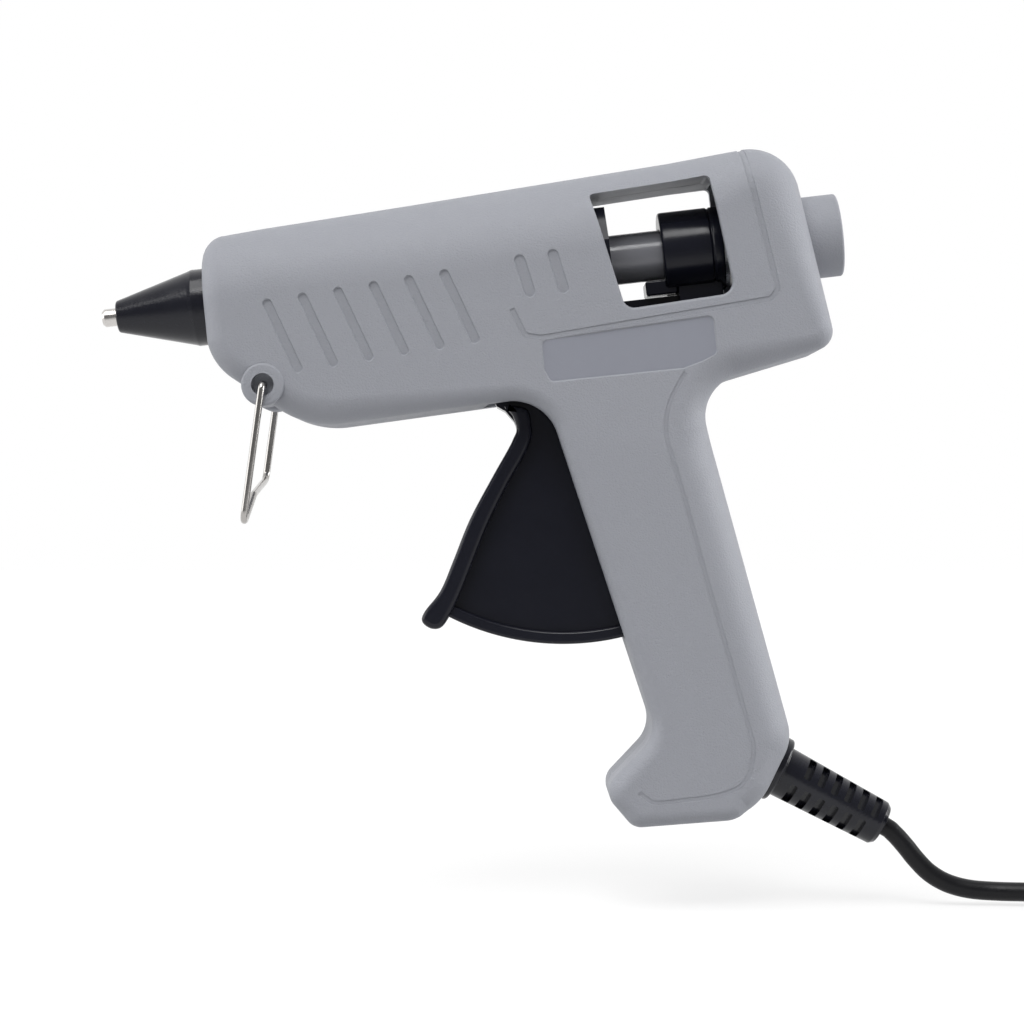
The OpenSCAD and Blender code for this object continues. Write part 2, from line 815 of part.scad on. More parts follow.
module wire_stand() {
  d = [-sin(stand_lean), -cos(stand_lean)];
  a = stand_at + near_leg * d;
  b = stand_at + far_leg * d;
  step = stand_at + (near_leg + 2 * (far_leg - near_leg) / 3) * d;
  bend = 3;
  corners = [
    [stand_at[0], -14, stand_at[1]],
    [stand_at[0], -stand_y, stand_at[1]],
    [a[0], -stand_y, a[1]],
    [step[0], -5, step[1]],
    [b[0], stand_y, b[1]],
    [stand_at[0], stand_y, stand_at[1]],
    [stand_at[0], 14, stand_at[1]],
  ];
  radii = [1.4, bend, 2 * bend, bend, 1.4];
  legs = [for (k = [0 : 4]) each stand_corner(corners[k], corners[k + 1], corners[k + 2], radii[k])];
  color("#c9c6c0") {
    sweep(legs, wire_d, 12);
    across(stand_at, -stand_y + 1.4, -13, wire_d);
    across(stand_at, 13, stand_y - 1.4, wire_d);
  }
}

// Round bend of the stand's wire at b, coming from a and going to c
function stand_corner(a, b, c, r) =
  let (u = unit(b - a), v = unit(c - b), turn = acos(u * v))
  let (side = unit(v - (v * u) * u), start = b - r * tan(turn / 2) * u)
  [for (k = [0 : 6])
    let (t = turn * k / 6)
    start + r * (sin(t) * u + (1 - cos(t)) * side)];

module cord_guard() {
  color("#1a1b1e")
    difference() {
      union() {
        on_guard(-4.9, -2.9, 14, 14);
        on_guard(-3, 0.2, 10, 10);
        on_guard(0.1, 2.1, 17.5, 17.5);
        on_guard(2, guard_l - 1.2, 13.6, 12);
        on_guard(guard_l - 1.2, guard_l, 12, 10.2);
      }
      on_guard(-6, guard_l + 1, cord_d + 0.3, cord_d + 0.3);
      for (q = [0 : 3])
        for (i = [0 : 5])
          translate([heel[0], 0, heel[1]])
            rotate([0, 90 + guard_slope, 0])
              rotate([0, 0, 45 + 90 * q])
                translate([4, -3.1, 5.6 + 4 * i + (q % 2) * 2])
                  cube([4, 6.2, 1.9]);
    }
}

// Places of the two clamp screws beside the cord
clamp_at = heel + 14 * [-cos(guard_slope), sin(guard_slope)];
clamp_along = [sin(guard_slope), cos(guard_slope)];
clamp_y = cord_d / 2 + 0.1;
// The saddle stands on the left shell, 82 mm below the fold of its side
clamp_base = inner_w - 82 * grip_taper - 0.4;
clamp_spots = [clamp_at - 6.4 * clamp_along, clamp_at + 6.4 * clamp_along];

// Block along the cord's axis at the clamp: [along, across, up the Y axis]
module on_clamp(a, b) {
  translate([clamp_at[0], 0, clamp_at[1]])
    rotate([-90, guard_slope, 0])
      block(a, b);
}

module cord_clamp() {
  color("#2a2b2f")
    difference() {
      union() {
        on_clamp([-3, -9.4, -clamp_base], [3, 9.4, clamp_y - 0.1]);
        on_clamp([-3, -9.4, clamp_y], [3, 9.4, clamp_y + 2.6]);
      }
      on_clamp([-4, -cord_d / 2 - 0.1, -clamp_y - 0.1], [4, cord_d / 2 + 0.1, clamp_y]);
      for (s = clamp_spots)
        across(s, -8, clamp_y + 4, 2.5);
    }
}

module clamp_screws() {
  color("#c8ccd0")
    for (s = clamp_spots) {
      across(s, -7, clamp_y + 2.8, 2.4);
      across(s, clamp_y + 2.6, clamp_y + 4.2, 4.6);
    }
}

module cord_lead() {
  color("#1a1b1d")
    sweep(cord_path, cord_d, 12);
}

// Least distance between the coil's surface and itself, on its points
coil_gap = min([
  for (i = [0 : 2 : len(coil_path) - 1])
    for (j = [i + coil_n / 2 : len(coil_path) - 1])
      norm(coil_path[i] - coil_path[j])
]) - cord_d;
echo(coil_gap = coil_gap);

module cord_coil() {
  color("#1a1b1d")
    sweep(coil_path, cord_d, 6);
}

module cord_tail() {
  color("#1a1b1d")
    sweep(tail_path, cord_d, 10);
}

// Strap round the bundle of turns
module coil_tie() {
  long = coil_pitch * layer_turns + cord_d + 1.6;
  tall = coil_top + cord_d + 0.6;
  middle = (coil_inner_r + coil_r) / 2;
  color("#30323a")
    translate(coil_at)
      rotate([0, 0, 145])
        translate([middle - long / 2, -5, -cord_d / 2 - 0.3])
          difference() {
            translate([-0.7, 0, -0.7])
              cube([long + 1.4, 10, tall + 1.4]);
            translate([0, -1, 0])
              cube([long, 12, tall]);
          }
}

// Flat two-pin plug lying on the coil, its pins toward -Y
module plug_body() {
  color("#1a1b1d")
    translate(plug_at)
      difference() {
        union() {
          block([-12, -26, -plug_h], [12, -10, plug_h]);
          along_y([0, -10], 13, 2 * plug_h, 9);
          for (x = [-12, 12])
            along_y([x, -26], 16, 2 * plug_h, 2 * plug_h);
        }
        along_y([0, -9], 14, cord_d + 0.2, cord_d + 0.2);
        for (x = [-pin_step / 2, pin_step / 2])
          along_y([x, -27], 9, root_d + pin_hole, root_d + pin_hole);
      }
}

module plug_pins() {
  color("#c8ccd0")
    translate(plug_at)
      for (x = [-pin_step / 2, pin_step / 2]) {
        along_y([x, -26.3 - pin_l], pin_l, pin_d, pin_d);
        along_y([x, -26.8], 8.3, root_d, root_d);
      }
}

// Cone or cylinder along +Y from [x, y]
module along_y(at, h, d0, d1) {
  translate([at[0], at[1], 0])
    rotate([-90, 0, 0])
      cylinder(d1 = d0, d2 = d1, h = h);
}

dip() left_shell();
dip() right_shell();
dip() shell_screws();
dip() inlet_tube();
dip() nozzle();
dip() nozzle_cover();
dip() melt_chamber();
dip() chamber_rings();
dip() heater();
dip() heater_clip();
dip() lead_crimps();
dip() heater_leads();
dip() inlet_sleeve();
dip() sleeve_clip();
dip() guide_tube();
dip() front_plate();
dip() rear_plate();
dip() carriage();
dip() grip_plate();
dip() grip_screws();
dip() feed_link();
dip() link_pin();
dip() return_spring();
dip() trigger();
dip() arm_pin();
dip() trigger_pin();
dip() wire_stand();
dip() cord_guard();
dip() cord_clamp();
dip() clamp_screws();
cord_lead();
cord_coil();
cord_tail();
coil_tie();
plug_body();
plug_pins();
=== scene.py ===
import json
import math

import bmesh
import bpy
from mathutils import Matrix, Vector
from mathutils.bvhtree import BVHTree


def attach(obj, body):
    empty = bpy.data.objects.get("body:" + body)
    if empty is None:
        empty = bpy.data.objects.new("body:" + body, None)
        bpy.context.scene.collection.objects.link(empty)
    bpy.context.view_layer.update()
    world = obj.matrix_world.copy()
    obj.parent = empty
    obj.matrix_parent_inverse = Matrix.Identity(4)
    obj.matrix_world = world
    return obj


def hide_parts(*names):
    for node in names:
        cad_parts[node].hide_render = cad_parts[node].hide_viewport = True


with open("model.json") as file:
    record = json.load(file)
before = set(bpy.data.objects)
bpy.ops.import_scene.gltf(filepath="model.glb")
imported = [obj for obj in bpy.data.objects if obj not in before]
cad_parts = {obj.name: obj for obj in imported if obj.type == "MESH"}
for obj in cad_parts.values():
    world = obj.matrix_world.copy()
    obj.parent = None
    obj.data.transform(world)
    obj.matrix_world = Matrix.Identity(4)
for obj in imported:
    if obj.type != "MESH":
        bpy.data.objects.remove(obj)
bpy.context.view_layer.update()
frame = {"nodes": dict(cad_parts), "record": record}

# The tool is drawn in millimetres with the stick's path along X, then dipped about the grip.
# The cord on the floor is drawn level, and only scaled.
MM = 0.001
NOSE_DIP = math.radians(6.5)
TOOL = Matrix.Rotation(-NOSE_DIP, 4, "Y") @ Matrix.Scale(MM, 4)
ROW = Matrix.Scale(MM, 4)
FEED_H = 82.8
HALF_W = 21.0
WALL = 2.4
FLOOR_Z = -88.0
# How far cutters reach past the faces that they cut through
PAST = 3.0


# Camera

LENS_MM = 93.5
SENSOR_MM = 36
CAMERA_AT = (-0.0428, -0.7, 0.0153)


def add_camera():
    """A level camera at the photograph's distance, looking along +Y."""
    lens = bpy.data.cameras.new("camera")
    lens.lens = LENS_MM
    lens.sensor_width = SENSOR_MM
    camera = bpy.data.objects.new("camera", lens)
    camera.location = CAMERA_AT
    camera.rotation_euler = (math.pi / 2, 0, 0)
    bpy.context.scene.collection.objects.link(camera)
    bpy.context.scene.camera = camera


# Materials

NOISE_LOW, NOISE_HIGH = 0.3, 0.7


def make_material(name, color, rough, metallic=0.0, specular=0.5, tint=0.06, tint_scale=60,
                  spread=0.06, spread_scale=200, bumps=(), stretch=(1, 1, 1)):
    """Principled material whose colour, roughness and height vary over the surface.

    Scales are per metre, and bumps lists each texture's scale and height in metres."""
    material = bpy.data.materials.new(name)
    material.use_nodes = True
    nodes, links = material.node_tree.nodes, material.node_tree.links
    bsdf = nodes["Principled BSDF"]
    bsdf.inputs["Metallic"].default_value = metallic
    bsdf.inputs["Specular IOR Level"].default_value = specular
    place = nodes.new("ShaderNodeMapping")
    place.inputs["Scale"].default_value = stretch
    links.new(nodes.new("ShaderNodeTexCoord").outputs["Object"], place.inputs["Vector"])

    def noise(scale, detail):
        texture = nodes.new("ShaderNodeTexNoise")
        texture.inputs["Scale"].default_value = scale
        texture.inputs["Detail"].default_value = detail
        links.new(place.outputs["Vector"], texture.inputs["Vector"])
        return texture.outputs["Fac"]

    mix = nodes.new("ShaderNodeMix")
    mix.data_type = "RGBA"
    mix.inputs["A"].default_value = (*(c * (1 - tint) for c in color), 1)
    mix.inputs["B"].default_value = (*(c * (1 + tint) for c in color), 1)
    links.new(noise(tint_scale, 6), mix.inputs["Factor"])
    links.new(mix.outputs["Result"], bsdf.inputs["Base Color"])

    level = nodes.new("ShaderNodeMapRange")
    level.inputs["From Min"].default_value = NOISE_LOW
    level.inputs["From Max"].default_value = NOISE_HIGH
    level.inputs["To Min"].default_value = rough - spread
    level.inputs["To Max"].default_value = rough + spread
    links.new(noise(spread_scale, 4), level.inputs["Value"])
    links.new(level.outputs["Result"], bsdf.inputs["Roughness"])

    normal = None
    for scale, height in bumps:
        bump = nodes.new("ShaderNodeBump")
        bump.inputs["Distance"].default_value = height
        links.new(noise(scale, 2), bump.inputs["Height"])
        if normal:
            links.new(normal, bump.inputs["Normal"])
        normal = bump.outputs["Normal"]
    if normal:
        links.new(normal, bsdf.inputs["Normal"])
    return material


LOOKS = {
    "grey_plastic": dict(
        color=(0.297, 0.306, 0.338), rough=0.56, specular=0.35, tint=0.05, tint_scale=2600,
        bumps=((2200, 0.00015), (5200, 0.00006))),
    "plated_steel": dict(
        color=(0.72, 0.73, 0.75), rough=0.24, metallic=1, spread=0.08, bumps=((900, 0.00004),)),
    "spring_steel": dict(
        color=(0.58, 0.60, 0.62), rough=0.3, metallic=1, spread=0.08, stretch=(1, 8, 8)),
    "nozzle_metal": dict(
        color=(0.60, 0.58, 0.56), rough=0.22, metallic=1, spread=0.07,
        bumps=((500, 0.00006),), stretch=(9, 1, 1)),
    "black_rubber": dict(
        color=(0.008, 0.0084, 0.0135), rough=0.21, specular=0.36, tint=0.25, spread=0.04,
        bumps=((1500, 0.00004),)),
    "cast_aluminium": dict(
        color=(0.62, 0.63, 0.65), rough=0.45, metallic=1, spread=0.1, bumps=((700, 0.00012),)),
    "pale_insulator": dict(color=(0.74, 0.71, 0.64), rough=0.7, bumps=((1200, 0.0001),)),
    "lead_sleeve": dict(color=(0.28, 0.15, 0.11), rough=0.5, bumps=((2000, 0.00005),)),
    "red_rubber": dict(color=(0.42, 0.09, 0.055), rough=0.6, bumps=((1400, 0.00008),)),
    "dark_tube": dict(
        color=(0.21, 0.213, 0.235), rough=0.22, spread=0.05, bumps=((400, 0.00003),),
        stretch=(1, 4, 4)),
    "black_plastic": dict(
        color=(0.008, 0.0086, 0.0145), rough=0.2, specular=0.26, tint=0.2, spread=0.04,
        bumps=((1100, 0.00001),)),
    "nickel_wire": dict(
        color=(0.43, 0.415, 0.40), rough=0.18, metallic=1, bumps=((700, 0.00003),)),
    "cord_jacket": dict(
        color=(0.007, 0.007, 0.0085), rough=0.38, specular=0.22, tint=0.2,
        bumps=((900, 0.00005),)),
    "plug_pin_metal": dict(
        color=(0.74, 0.73, 0.70), rough=0.2, metallic=1, bumps=((500, 0.00004),)),
}
FINISHES = {name: make_material(name, **look) for name, look in LOOKS.items()}
SMOOTH_GREY = make_material(
    "smooth_grey", (0.258, 0.267, 0.308), 0.42, specular=0.35, tint=0.02, tint_scale=300,
    bumps=((2500, 0.00002),))


# Outlines: lists of (point, outward normal) in the tool's X and Z, clockwise from the -Y side

def clockwise(points):
    """The same corners in clockwise order."""
    area = sum(a[0] * b[1] - b[0] * a[1] for a, b in zip(points, points[1:] + points[:1]))
    return points if area < 0 else points[::-1]


def round_corners(corners, steps, radius=None):
    """Outline with its corners rounded, as (point, outward normal, corner number).

    Without a radius, each corner brings its own as its third value."""
    loop = []
    for i, corner in enumerate(corners):
        here = Vector(corner[:2])
        u = (here - Vector(corners[i - 1][:2])).normalized()
        v = (Vector(corners[(i + 1) % len(corners)][:2]) - here).normalized()
        turn = math.atan2(u.x * v.y - u.y * v.x, u.dot(v))
        start = math.atan2(u.x, -u.y)
        r = corner[2] if radius is None else radius
        side = 1 if turn < 0 else -1
        out = Vector((math.cos(start), math.sin(start)))
        centre = here - u * (r * math.tan(abs(turn) / 2)) - out * (side * r)
        parts = steps if r else 1
        for k in range(parts + 1 if r else 1):
            angle = start + turn * k / parts
            out = Vector((math.cos(angle), math.sin(angle)))
            loop.append((centre + out * (side * r), out, i))
    return loop


def rounded_box(x0, z0, x1, z1, radius, steps):
    """Outline of a rectangle with rounded corners."""
    return round_corners([(x0, z0), (x0, z1), (x1, z1), (x1, z0)], steps, radius)


def sharp_outline(points):
    """Outline with its corners as they are, which can't be inset."""
    return [(Vector(p), Vector((0, 0))) for p in clockwise(points)]


def circle(at, r, steps=64):
    """Round outline."""
    loop = []
    for k in range(steps):
        a = -2 * math.pi * k / steps
        out = Vector((math.cos(a), math.sin(a)))
        loop.append((Vector(at) + r * out, out))
    return loop


def stadium(a, b, width, steps=12):
    """Outline of a slot with round ends at a and b."""
    a, b = Vector(a), Vector(b)
    start = math.atan2(b.y - a.y, b.x - a.x)
    loop = []
    for at, turn in ((b, start + math.pi / 2), (a, start - math.pi / 2)):
        for k in range(steps + 1):
            angle = turn - math.pi * k / steps
            out = Vector((math.cos(angle), math.sin(angle)))
            loop.append((at + out * width / 2, out))
    return loop


def smooth_path(points, parts):
    """Catmull-Rom curve through points."""
    points = [Vector(p) for p in points]
    last = len(points) - 1
    made = []
    for i in range(last):
        a, b, c, d = (points[max(0, min(last, k))] for k in range(i - 1, i + 3))
        for s in range(parts):
            t = s / parts
            move = t * (c - a) + t * t * (2 * a - 5 * b + 4 * c - d)
            made.append(b + 0.5 * (move + t ** 3 * (3 * b - a - 3 * c + d)))
    return made + [points[last]]


def smooth_outline(points, parts):
    """Closed smooth outline through points."""
    points = [Vector(p) for p in clockwise(points)]
    dense = smooth_path(points[-2:] + points + points[:3], parts)[2 * parts:-2 * parts - 1]
    loop = []
    for k, p in enumerate(dense):
        along = dense[(k + 1) % len(dense)] - dense[k - 1]
        loop.append((p, Vector((-along.y, along.x)).normalized()))
    return loop


def quarter_turn(steps):
    """Angles from 0 to 90 degrees."""
    return [math.pi / 2 * k / steps for k in range(steps + 1)]


# Solids: (points, faces) in millimetres

FEED_START, FEED_AXIS = (0, 0, FEED_H), (1, 0, 0)
# Turned cutters stop just short of their axis, so that no face has zero area
AXIS_R = 0.01


def loft(rings, closed=False):
    """Skin over rings of equally many points, capped unless it closes on itself."""
    count, n = len(rings), len(rings[0])
    faces = []
    for k in range(count if closed else count - 1):
        a, b = k * n, (k + 1) % count * n
        faces += [[a + i, a + (i + 1) % n, b + (i + 1) % n, b + i] for i in range(n)]
    if not closed:
        faces += [list(range(n))[::-1], [(count - 1) * n + i for i in range(n)]]
    return [p for ring in rings for p in ring], faces


def merge(*shapes):
    """Several solids as one list of points and faces."""
    points, faces = [], []
    for more, sides in shapes:
        faces += [[i + len(points) for i in side] for side in sides]
        points += more
    return points, faces


def pile(loop, sections):
    """Solid of a side outline that is inset by some amount at each Y: sections of (inset, y)."""
    rings = []
    for inset, y in sections:
        rings.append([
            Vector((p.x - inset * n.x, y, p.y - inset * n.y)) for p, n, *_ in loop])
    return loft(rings)


def slab(loop, y0, y1, edge=0.0, steps=5):
    """Plate from y0 to y1 with rounded edges."""
    if not edge:
        return pile(loop, [(0, y0), (0, y1)])
    low = [(edge * (1 - math.sin(a)), y0 + edge * (1 - math.cos(a))) for a in quarter_turn(steps)]
    high = [(inset, y0 + y1 - y) for inset, y in reversed(low)]
    return pile(loop, low + high)


def plate(loop, half, edge=0.0):
    """Plate across the middle plane."""
    return slab(loop, -half, half, edge)


def twin_plates(loop, near, far, edge):
    """Two plates on either side of the middle plane."""
    return merge(slab(loop, -far, -near, edge), slab(loop, near, far, edge))


def recess(loop, floor, face, lip):
    """Cutter down to floor through a face at Y, with a rounded lip and a small bevel below."""
    bevel, over = 0.2, 1.5
    sections = [(bevel, floor), (0, floor + bevel)]
    for a in quarter_turn(4):
        sections.append((-lip * (1 - math.cos(a)), face - lip + lip * math.sin(a) + 0.01))
    return pile(loop, sections + [(-lip - over, face + over)])


def lathe(profile, origin, axis, steps=96):
    """Ring-shaped solid of a closed profile of (distance along, radius) round an axis."""
    axis = Vector(axis).normalized()
    u = Vector((0, 1, 0))
    v = axis.cross(u)
    rings = []
    for k in range(steps):
        a = 2 * math.pi * k / steps
        out = math.cos(a) * u + math.sin(a) * v
        rings.append([Vector(origin) + along * axis + r * out for along, r in profile])
    return loft(rings, closed=True)


def profile_of(corners, steps=5):
    """Closed profile of (along, radius, corner radius) corners, rounded."""
    return [(p.x, p.y) for p, _, _ in round_corners(clockwise(corners), steps)]


def bore(start, end, r, origin=FEED_START, axis=FEED_AXIS, steps=64):
    """Cutter for a round hole from start to end along an axis."""
    corners = [(start, AXIS_R, 0), (start, r, 0), (end, r, 0), (end, AXIS_R, 0)]
    return lathe(profile_of(corners), origin, axis, steps)


def mirrored(shape):
    """The same solid on the -Y side."""
    points, faces = shape
    return [Vector((p.x, -p.y, p.z)) for p in points], [f[::-1] for f in faces]


# Pieces

def solid(name, shape):
    """Object of a solid, still in millimetres, with its faces turned outward."""
    mesh = bpy.data.meshes.new(name)
    mesh.from_pydata([tuple(p) for p in shape[0]], [], shape[1])
    work = bmesh.new()
    work.from_mesh(mesh)
    bmesh.ops.recalc_face_normals(work, faces=work.faces)
    if work.calc_volume(signed=True) < 0:
        bmesh.ops.reverse_faces(work, faces=work.faces)
    work.to_mesh(mesh)
    work.free()
    piece = bpy.data.objects.new(name, mesh)
    bpy.context.scene.collection.objects.link(piece)
    return piece


def combine(piece, shape, operation):
    """Join a solid to a piece, cut it away or keep what both share."""
    other = solid("cutter", shape)
    step = piece.modifiers.new("step", "BOOLEAN")
    step.object, step.operation, step.solver = other, operation, "MANIFOLD"
    graph = bpy.context.evaluated_depsgraph_get()
    made = bpy.data.meshes.new_from_object(piece.evaluated_get(graph))
    piece.modifiers.clear()
    old, piece.data = piece.data, made
    made.name = piece.name
    for mesh in (old, other.data):
        bpy.data.meshes.remove(mesh)
    return piece


def join(piece, *shapes):
    """Add solids to a piece."""
    for shape in shapes:
        combine(piece, shape, "UNION")
    return piece


def cut(piece, *shapes):
    """Take solids away from a piece."""
    for shape in shapes:
        combine(piece, shape, "DIFFERENCE")
    return piece


def shape_of(piece):
    """A piece's solid, taken out of its object again."""
    mesh = piece.data
    shape = [v.co.copy() for v in mesh.vertices], [list(f.vertices) for f in mesh.polygons]
    bpy.data.meshes.remove(mesh)
    return shape


def take_over(piece, body, nodes):
    """Let a piece ride on a body and stand for CAD nodes."""
    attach(piece, body)
    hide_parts(*nodes)
    return piece


def dress(piece, body, slot, nodes, place=TOOL, sharp=32):
    """Place a finished piece, smooth it up to an angle and let it stand for its CAD nodes."""
    piece.data.transform(place)
    piece.data.shade_smooth()
    piece.data.set_sharp_from_angle(angle=math.radians(sharp))
    piece.modifiers.new("even_normals", "WEIGHTED_NORMAL").keep_sharp = True
    piece.data.materials.clear()
    piece.data.materials.append(FINISHES[slot])
    return take_over(piece, body, nodes)


def wire(name, points, d, slot, place=TOOL):
    """Round wire or cord along points, as a curve of one open spline."""
    curve = bpy.data.curves.new(name, "CURVE")
    curve.dimensions = "3D"
    curve.bevel_depth = d / 2 * MM
    curve.bevel_resolution = 5
    curve.use_fill_caps = True
    line = curve.splines.new("POLY")
    line.points.add(len(points) - 1)
    for spot, p in zip(line.points, points):
        spot.co = (*(place @ Vector(p)), 1)
    line.use_smooth = True
    curve.materials.append(FINISHES[slot])
    piece = bpy.data.objects.new(name, curve)
    bpy.context.scene.collection.objects.link(piece)
    return piece


def bend(a, b, c, r, steps=10):
    """Round bend at b on the way from a to c."""
    a, b, c = Vector(a), Vector(b), Vector(c)
    u, v = (b - a).normalized(), (c - b).normalized()
    turn = u.angle(v)
    side = (v - v.dot(u) * u).normalized()
    start = b - r * math.tan(turn / 2) * u
    turns = [turn * k / steps for k in range(steps + 1)]
    return [start + r * (math.sin(t) * u + (1 - math.cos(t)) * side) for t in turns]


# Cord: the route of part.scad, in millimetres of the level frame

CORD_D = 5.0
CORD_Z = FLOOR_Z + 1 + CORD_D / 2
HEEL = Vector((19.85, 0, -54.35))
GUARD_SLOPE = math.radians(34.5)
GUARD_L = 32.4
GUARD_AXIS = Vector((math.cos(GUARD_SLOPE), 0, -math.sin(GUARD_SLOPE)))
CORD_IN_GUARD = 18
# From the guard down to the floor and along it to the coil
LEAD = [
    (57.6, 0, -69.2), (60.6, 0, -72.5), (63.5, 0, -76.1), (67, 0, -79.6),
    (71.6, 0, -82.3), (77.4, 0, -83.9), (85, -0.2, CORD_Z), (96, -2.4, CORD_Z),
    (106, -7.4, CORD_Z), (116, -13.2, CORD_Z), (124, -17.6, CORD_Z), (131, -20.2, CORD_Z)]
# Four layers that wind inwards and outwards by turns
COIL_PITCH = 5.6
COIL_TURNS = 7.25
COIL_STEPS = 36
COIL_INNER_R = 22.5
LAYER_TURNS = COIL_TURNS / 4
COIL_R = COIL_INNER_R + COIL_PITCH * LAYER_TURNS
COIL_AT = Vector((137, 12, CORD_Z))
COIL_TOP = 3 * COIL_PITCH
# Half a turn on top of the coil, climbing to the plug
TAIL_R = 20.3
TAIL_Y = 4
TAIL_RISES = (0.2, 1.6, 4.8, 8, 9.4, 9.5, 9.5)
PLUG_AT = COIL_AT + Vector((COIL_R - 2 * TAIL_R, 0, COIL_TOP + CORD_D / 2 + 7))
STRAP_ANGLE = math.radians(145)
STRAP_T = 0.7
STRAP_HALF_W = 5


def coil_point(turns):
    """Middle of the cord after so many turns of the coil."""
    a = 2 * math.pi * turns - math.pi / 2
    r = COIL_INNER_R + COIL_PITCH * abs(turns % (2 * LAYER_TURNS) - LAYER_TURNS)
    # Each layer is reached within half a turn
    climbs = [max(0, min(1, (turns - layer * LAYER_TURNS) * 2 + 0.5)) for layer in (1, 2, 3)]
    return COIL_AT + Vector((r * math.cos(a), r * math.sin(a), COIL_PITCH * sum(climbs)))


def cord_route():
    """Points of the whole cord, from inside the guard to the plug."""
    turn = TOOL.to_3x3().normalized()
    heel, along = turn @ HEEL, turn @ GUARD_AXIS
    lead = [heel + along * (GUARD_L - CORD_IN_GUARD), heel + along * GUARD_L]
    lead += [Vector(p) for p in LEAD]
    coil = [coil_point(k / COIL_STEPS) for k in range(int(COIL_STEPS * COIL_TURNS) + 1)]
    tail = []
    for k, rise in enumerate(TAIL_RISES):
        a = math.pi * k / 6
        x, y = COIL_R - TAIL_R + TAIL_R * math.cos(a), TAIL_Y + TAIL_R * math.sin(a)
        tail.append(COIL_AT + Vector((x, y, COIL_TOP + rise)))
    tail.append(PLUG_AT - Vector((0, TAIL_Y, 0)))
    return smooth_path(lead + coil[:1], 6) + coil[1:] + smooth_path(coil[-1:] + tail, 6)[1:]


def add_cord():
    """The cord with its coil, and the pieces on it."""
    route = cord_route()
    flex = wire("mains_cord", route, CORD_D, "cord_jacket", ROW)
    take_over(flex, "housing", ["cord_lead", "cord_coil", "cord_tail"])
    plug = add_plug()
    strap = add_strap()


def add_plug():
    """Flat two-pin plug lying on the coil."""
    pin_x, pin_hole_r = 9.5, 1.64
    body = solid("plug_shell", slab(rounded_box(-19, -7, 19, 7, 6.8, 12), -26, -10, 1.6))
    neck = profile_of([(-12, 1, 0), (-12, 8, 0.5), (-6, 7.2, 2), (3, 4.4, 1), (3, 1, 0)])
    join(body, lathe(neck, (0, 0, 0), (0, 1, 0.0001), 48))
    cut(body, merge(*(slab(circle((x, 0), pin_hole_r, 32), -27, -17) for x in (-pin_x, pin_x))))
    return dress(body, "housing", "cord_jacket", ["plug_body"], ROW @ Matrix.Translation(PLUG_AT))


def add_strap():
    """Strap round the bundle of turns."""
    long = COIL_PITCH * LAYER_TURNS + CORD_D + 1.6
    tall = COIL_TOP + CORD_D + 0.6
    outside = rounded_box(-STRAP_T, -STRAP_T, long + STRAP_T, tall + STRAP_T, 2.2, 8)
    inside = rounded_box(0, 0, long, tall, 1.5, 8)
    strap = solid("coil_strap", plate(outside, STRAP_HALF_W, 0.3))
    cut(strap, plate(inside, STRAP_HALF_W + 1))
    middle = (COIL_INNER_R + COIL_R) / 2
    place = ROW @ Matrix.Translation(COIL_AT) @ Matrix.Rotation(STRAP_ANGLE, 4, "Z")
    place = place @ Matrix.Translation((middle - long / 2, 0, -CORD_D / 2 - 0.3))
    return dress(strap, "housing", "black_plastic", ["coil_tie"], place)


# Housing: its form

GRIP_TAPER = 0.043
BACK_TOP, BACK_LOW = Vector((10, 46.5)), Vector((24.9, -47))
FRONT_TOP, FRONT_LOW = Vector((-28.9, 48.9)), Vector((-10.2, -41))
BACK_FOLD = BACK_TOP + 14.5 * (BACK_LOW - BACK_TOP).normalized()
FRONT_FOLD = FRONT_TOP + 14 * (FRONT_LOW - FRONT_TOP).normalized()
# Corners of the side outline: x, z, corner radius, edge rounding.
# The barrel runs on past the nose, where nose_form trims it.
BODY = [
    (-142, 98.1, 10, 10),
    (-130, 98.9, 0, 18),
    (-97, 101, 0, 18),
    (-59.9, 102.9, 0, 20.5),
    (9.7, 106.2, 0, 20.5),
    (41.4, 107, 13, 12),
    (46.8, 53.4, 5, 4.4),
    (*BACK_TOP, 11, 8),
    (*BACK_FOLD, 0, 10),
    (*BACK_LOW, 12, 9),
    (14.8, -61.7, 16, 6),
    (7.2, -65.5, 8, 4),
    (-18.8, -64.6, 4.6, 4.2),
    (-24.2, -56.6, 5.2, 4.4),
    (-23.9, -52.4, 5, 4.4),
    (*FRONT_LOW, 9, 4),
    (*FRONT_FOLD, 0, 3.4),
    (*FRONT_TOP, 12, 4),
    (-90.5, 47.3, 24, 7),
    (-113.8, 67, 15, 5.75),
    (-113.8, 79, 1, 0.6),
    (-142, 77.5, 3, 0.6),
]
BODY_LOOP = round_corners(BODY, 18)
# The side is flat above a fold between these two corners, and tapers below it
BACK_FOLD_CORNER, FRONT_FOLD_CORNER = 8, 16
BODY_CORNERS = [corner for _, _, corner in BODY_LOOP]
BACK_I, FRONT_I = BODY_CORNERS.index(BACK_FOLD_CORNER), BODY_CORNERS.index(FRONT_FOLD_CORNER)
LEAST_ROUNDING = 0.6
SKIN_STEPS, HOLLOW_STEPS = 14, 5
# The halves meet in a fine bevelled line
SEAM_GAP, SEAM_BEVEL, SEAM_DEPTH = 0.02, 0.25, 0.3
NOSE_X, NOSE_TOP, NOSE_TILT = -113.4, 100.0, 0.012
NOSE_EDGE, NOSE_ARCH_R = 5.8, 18
TOP_SLOPE = 0.0636


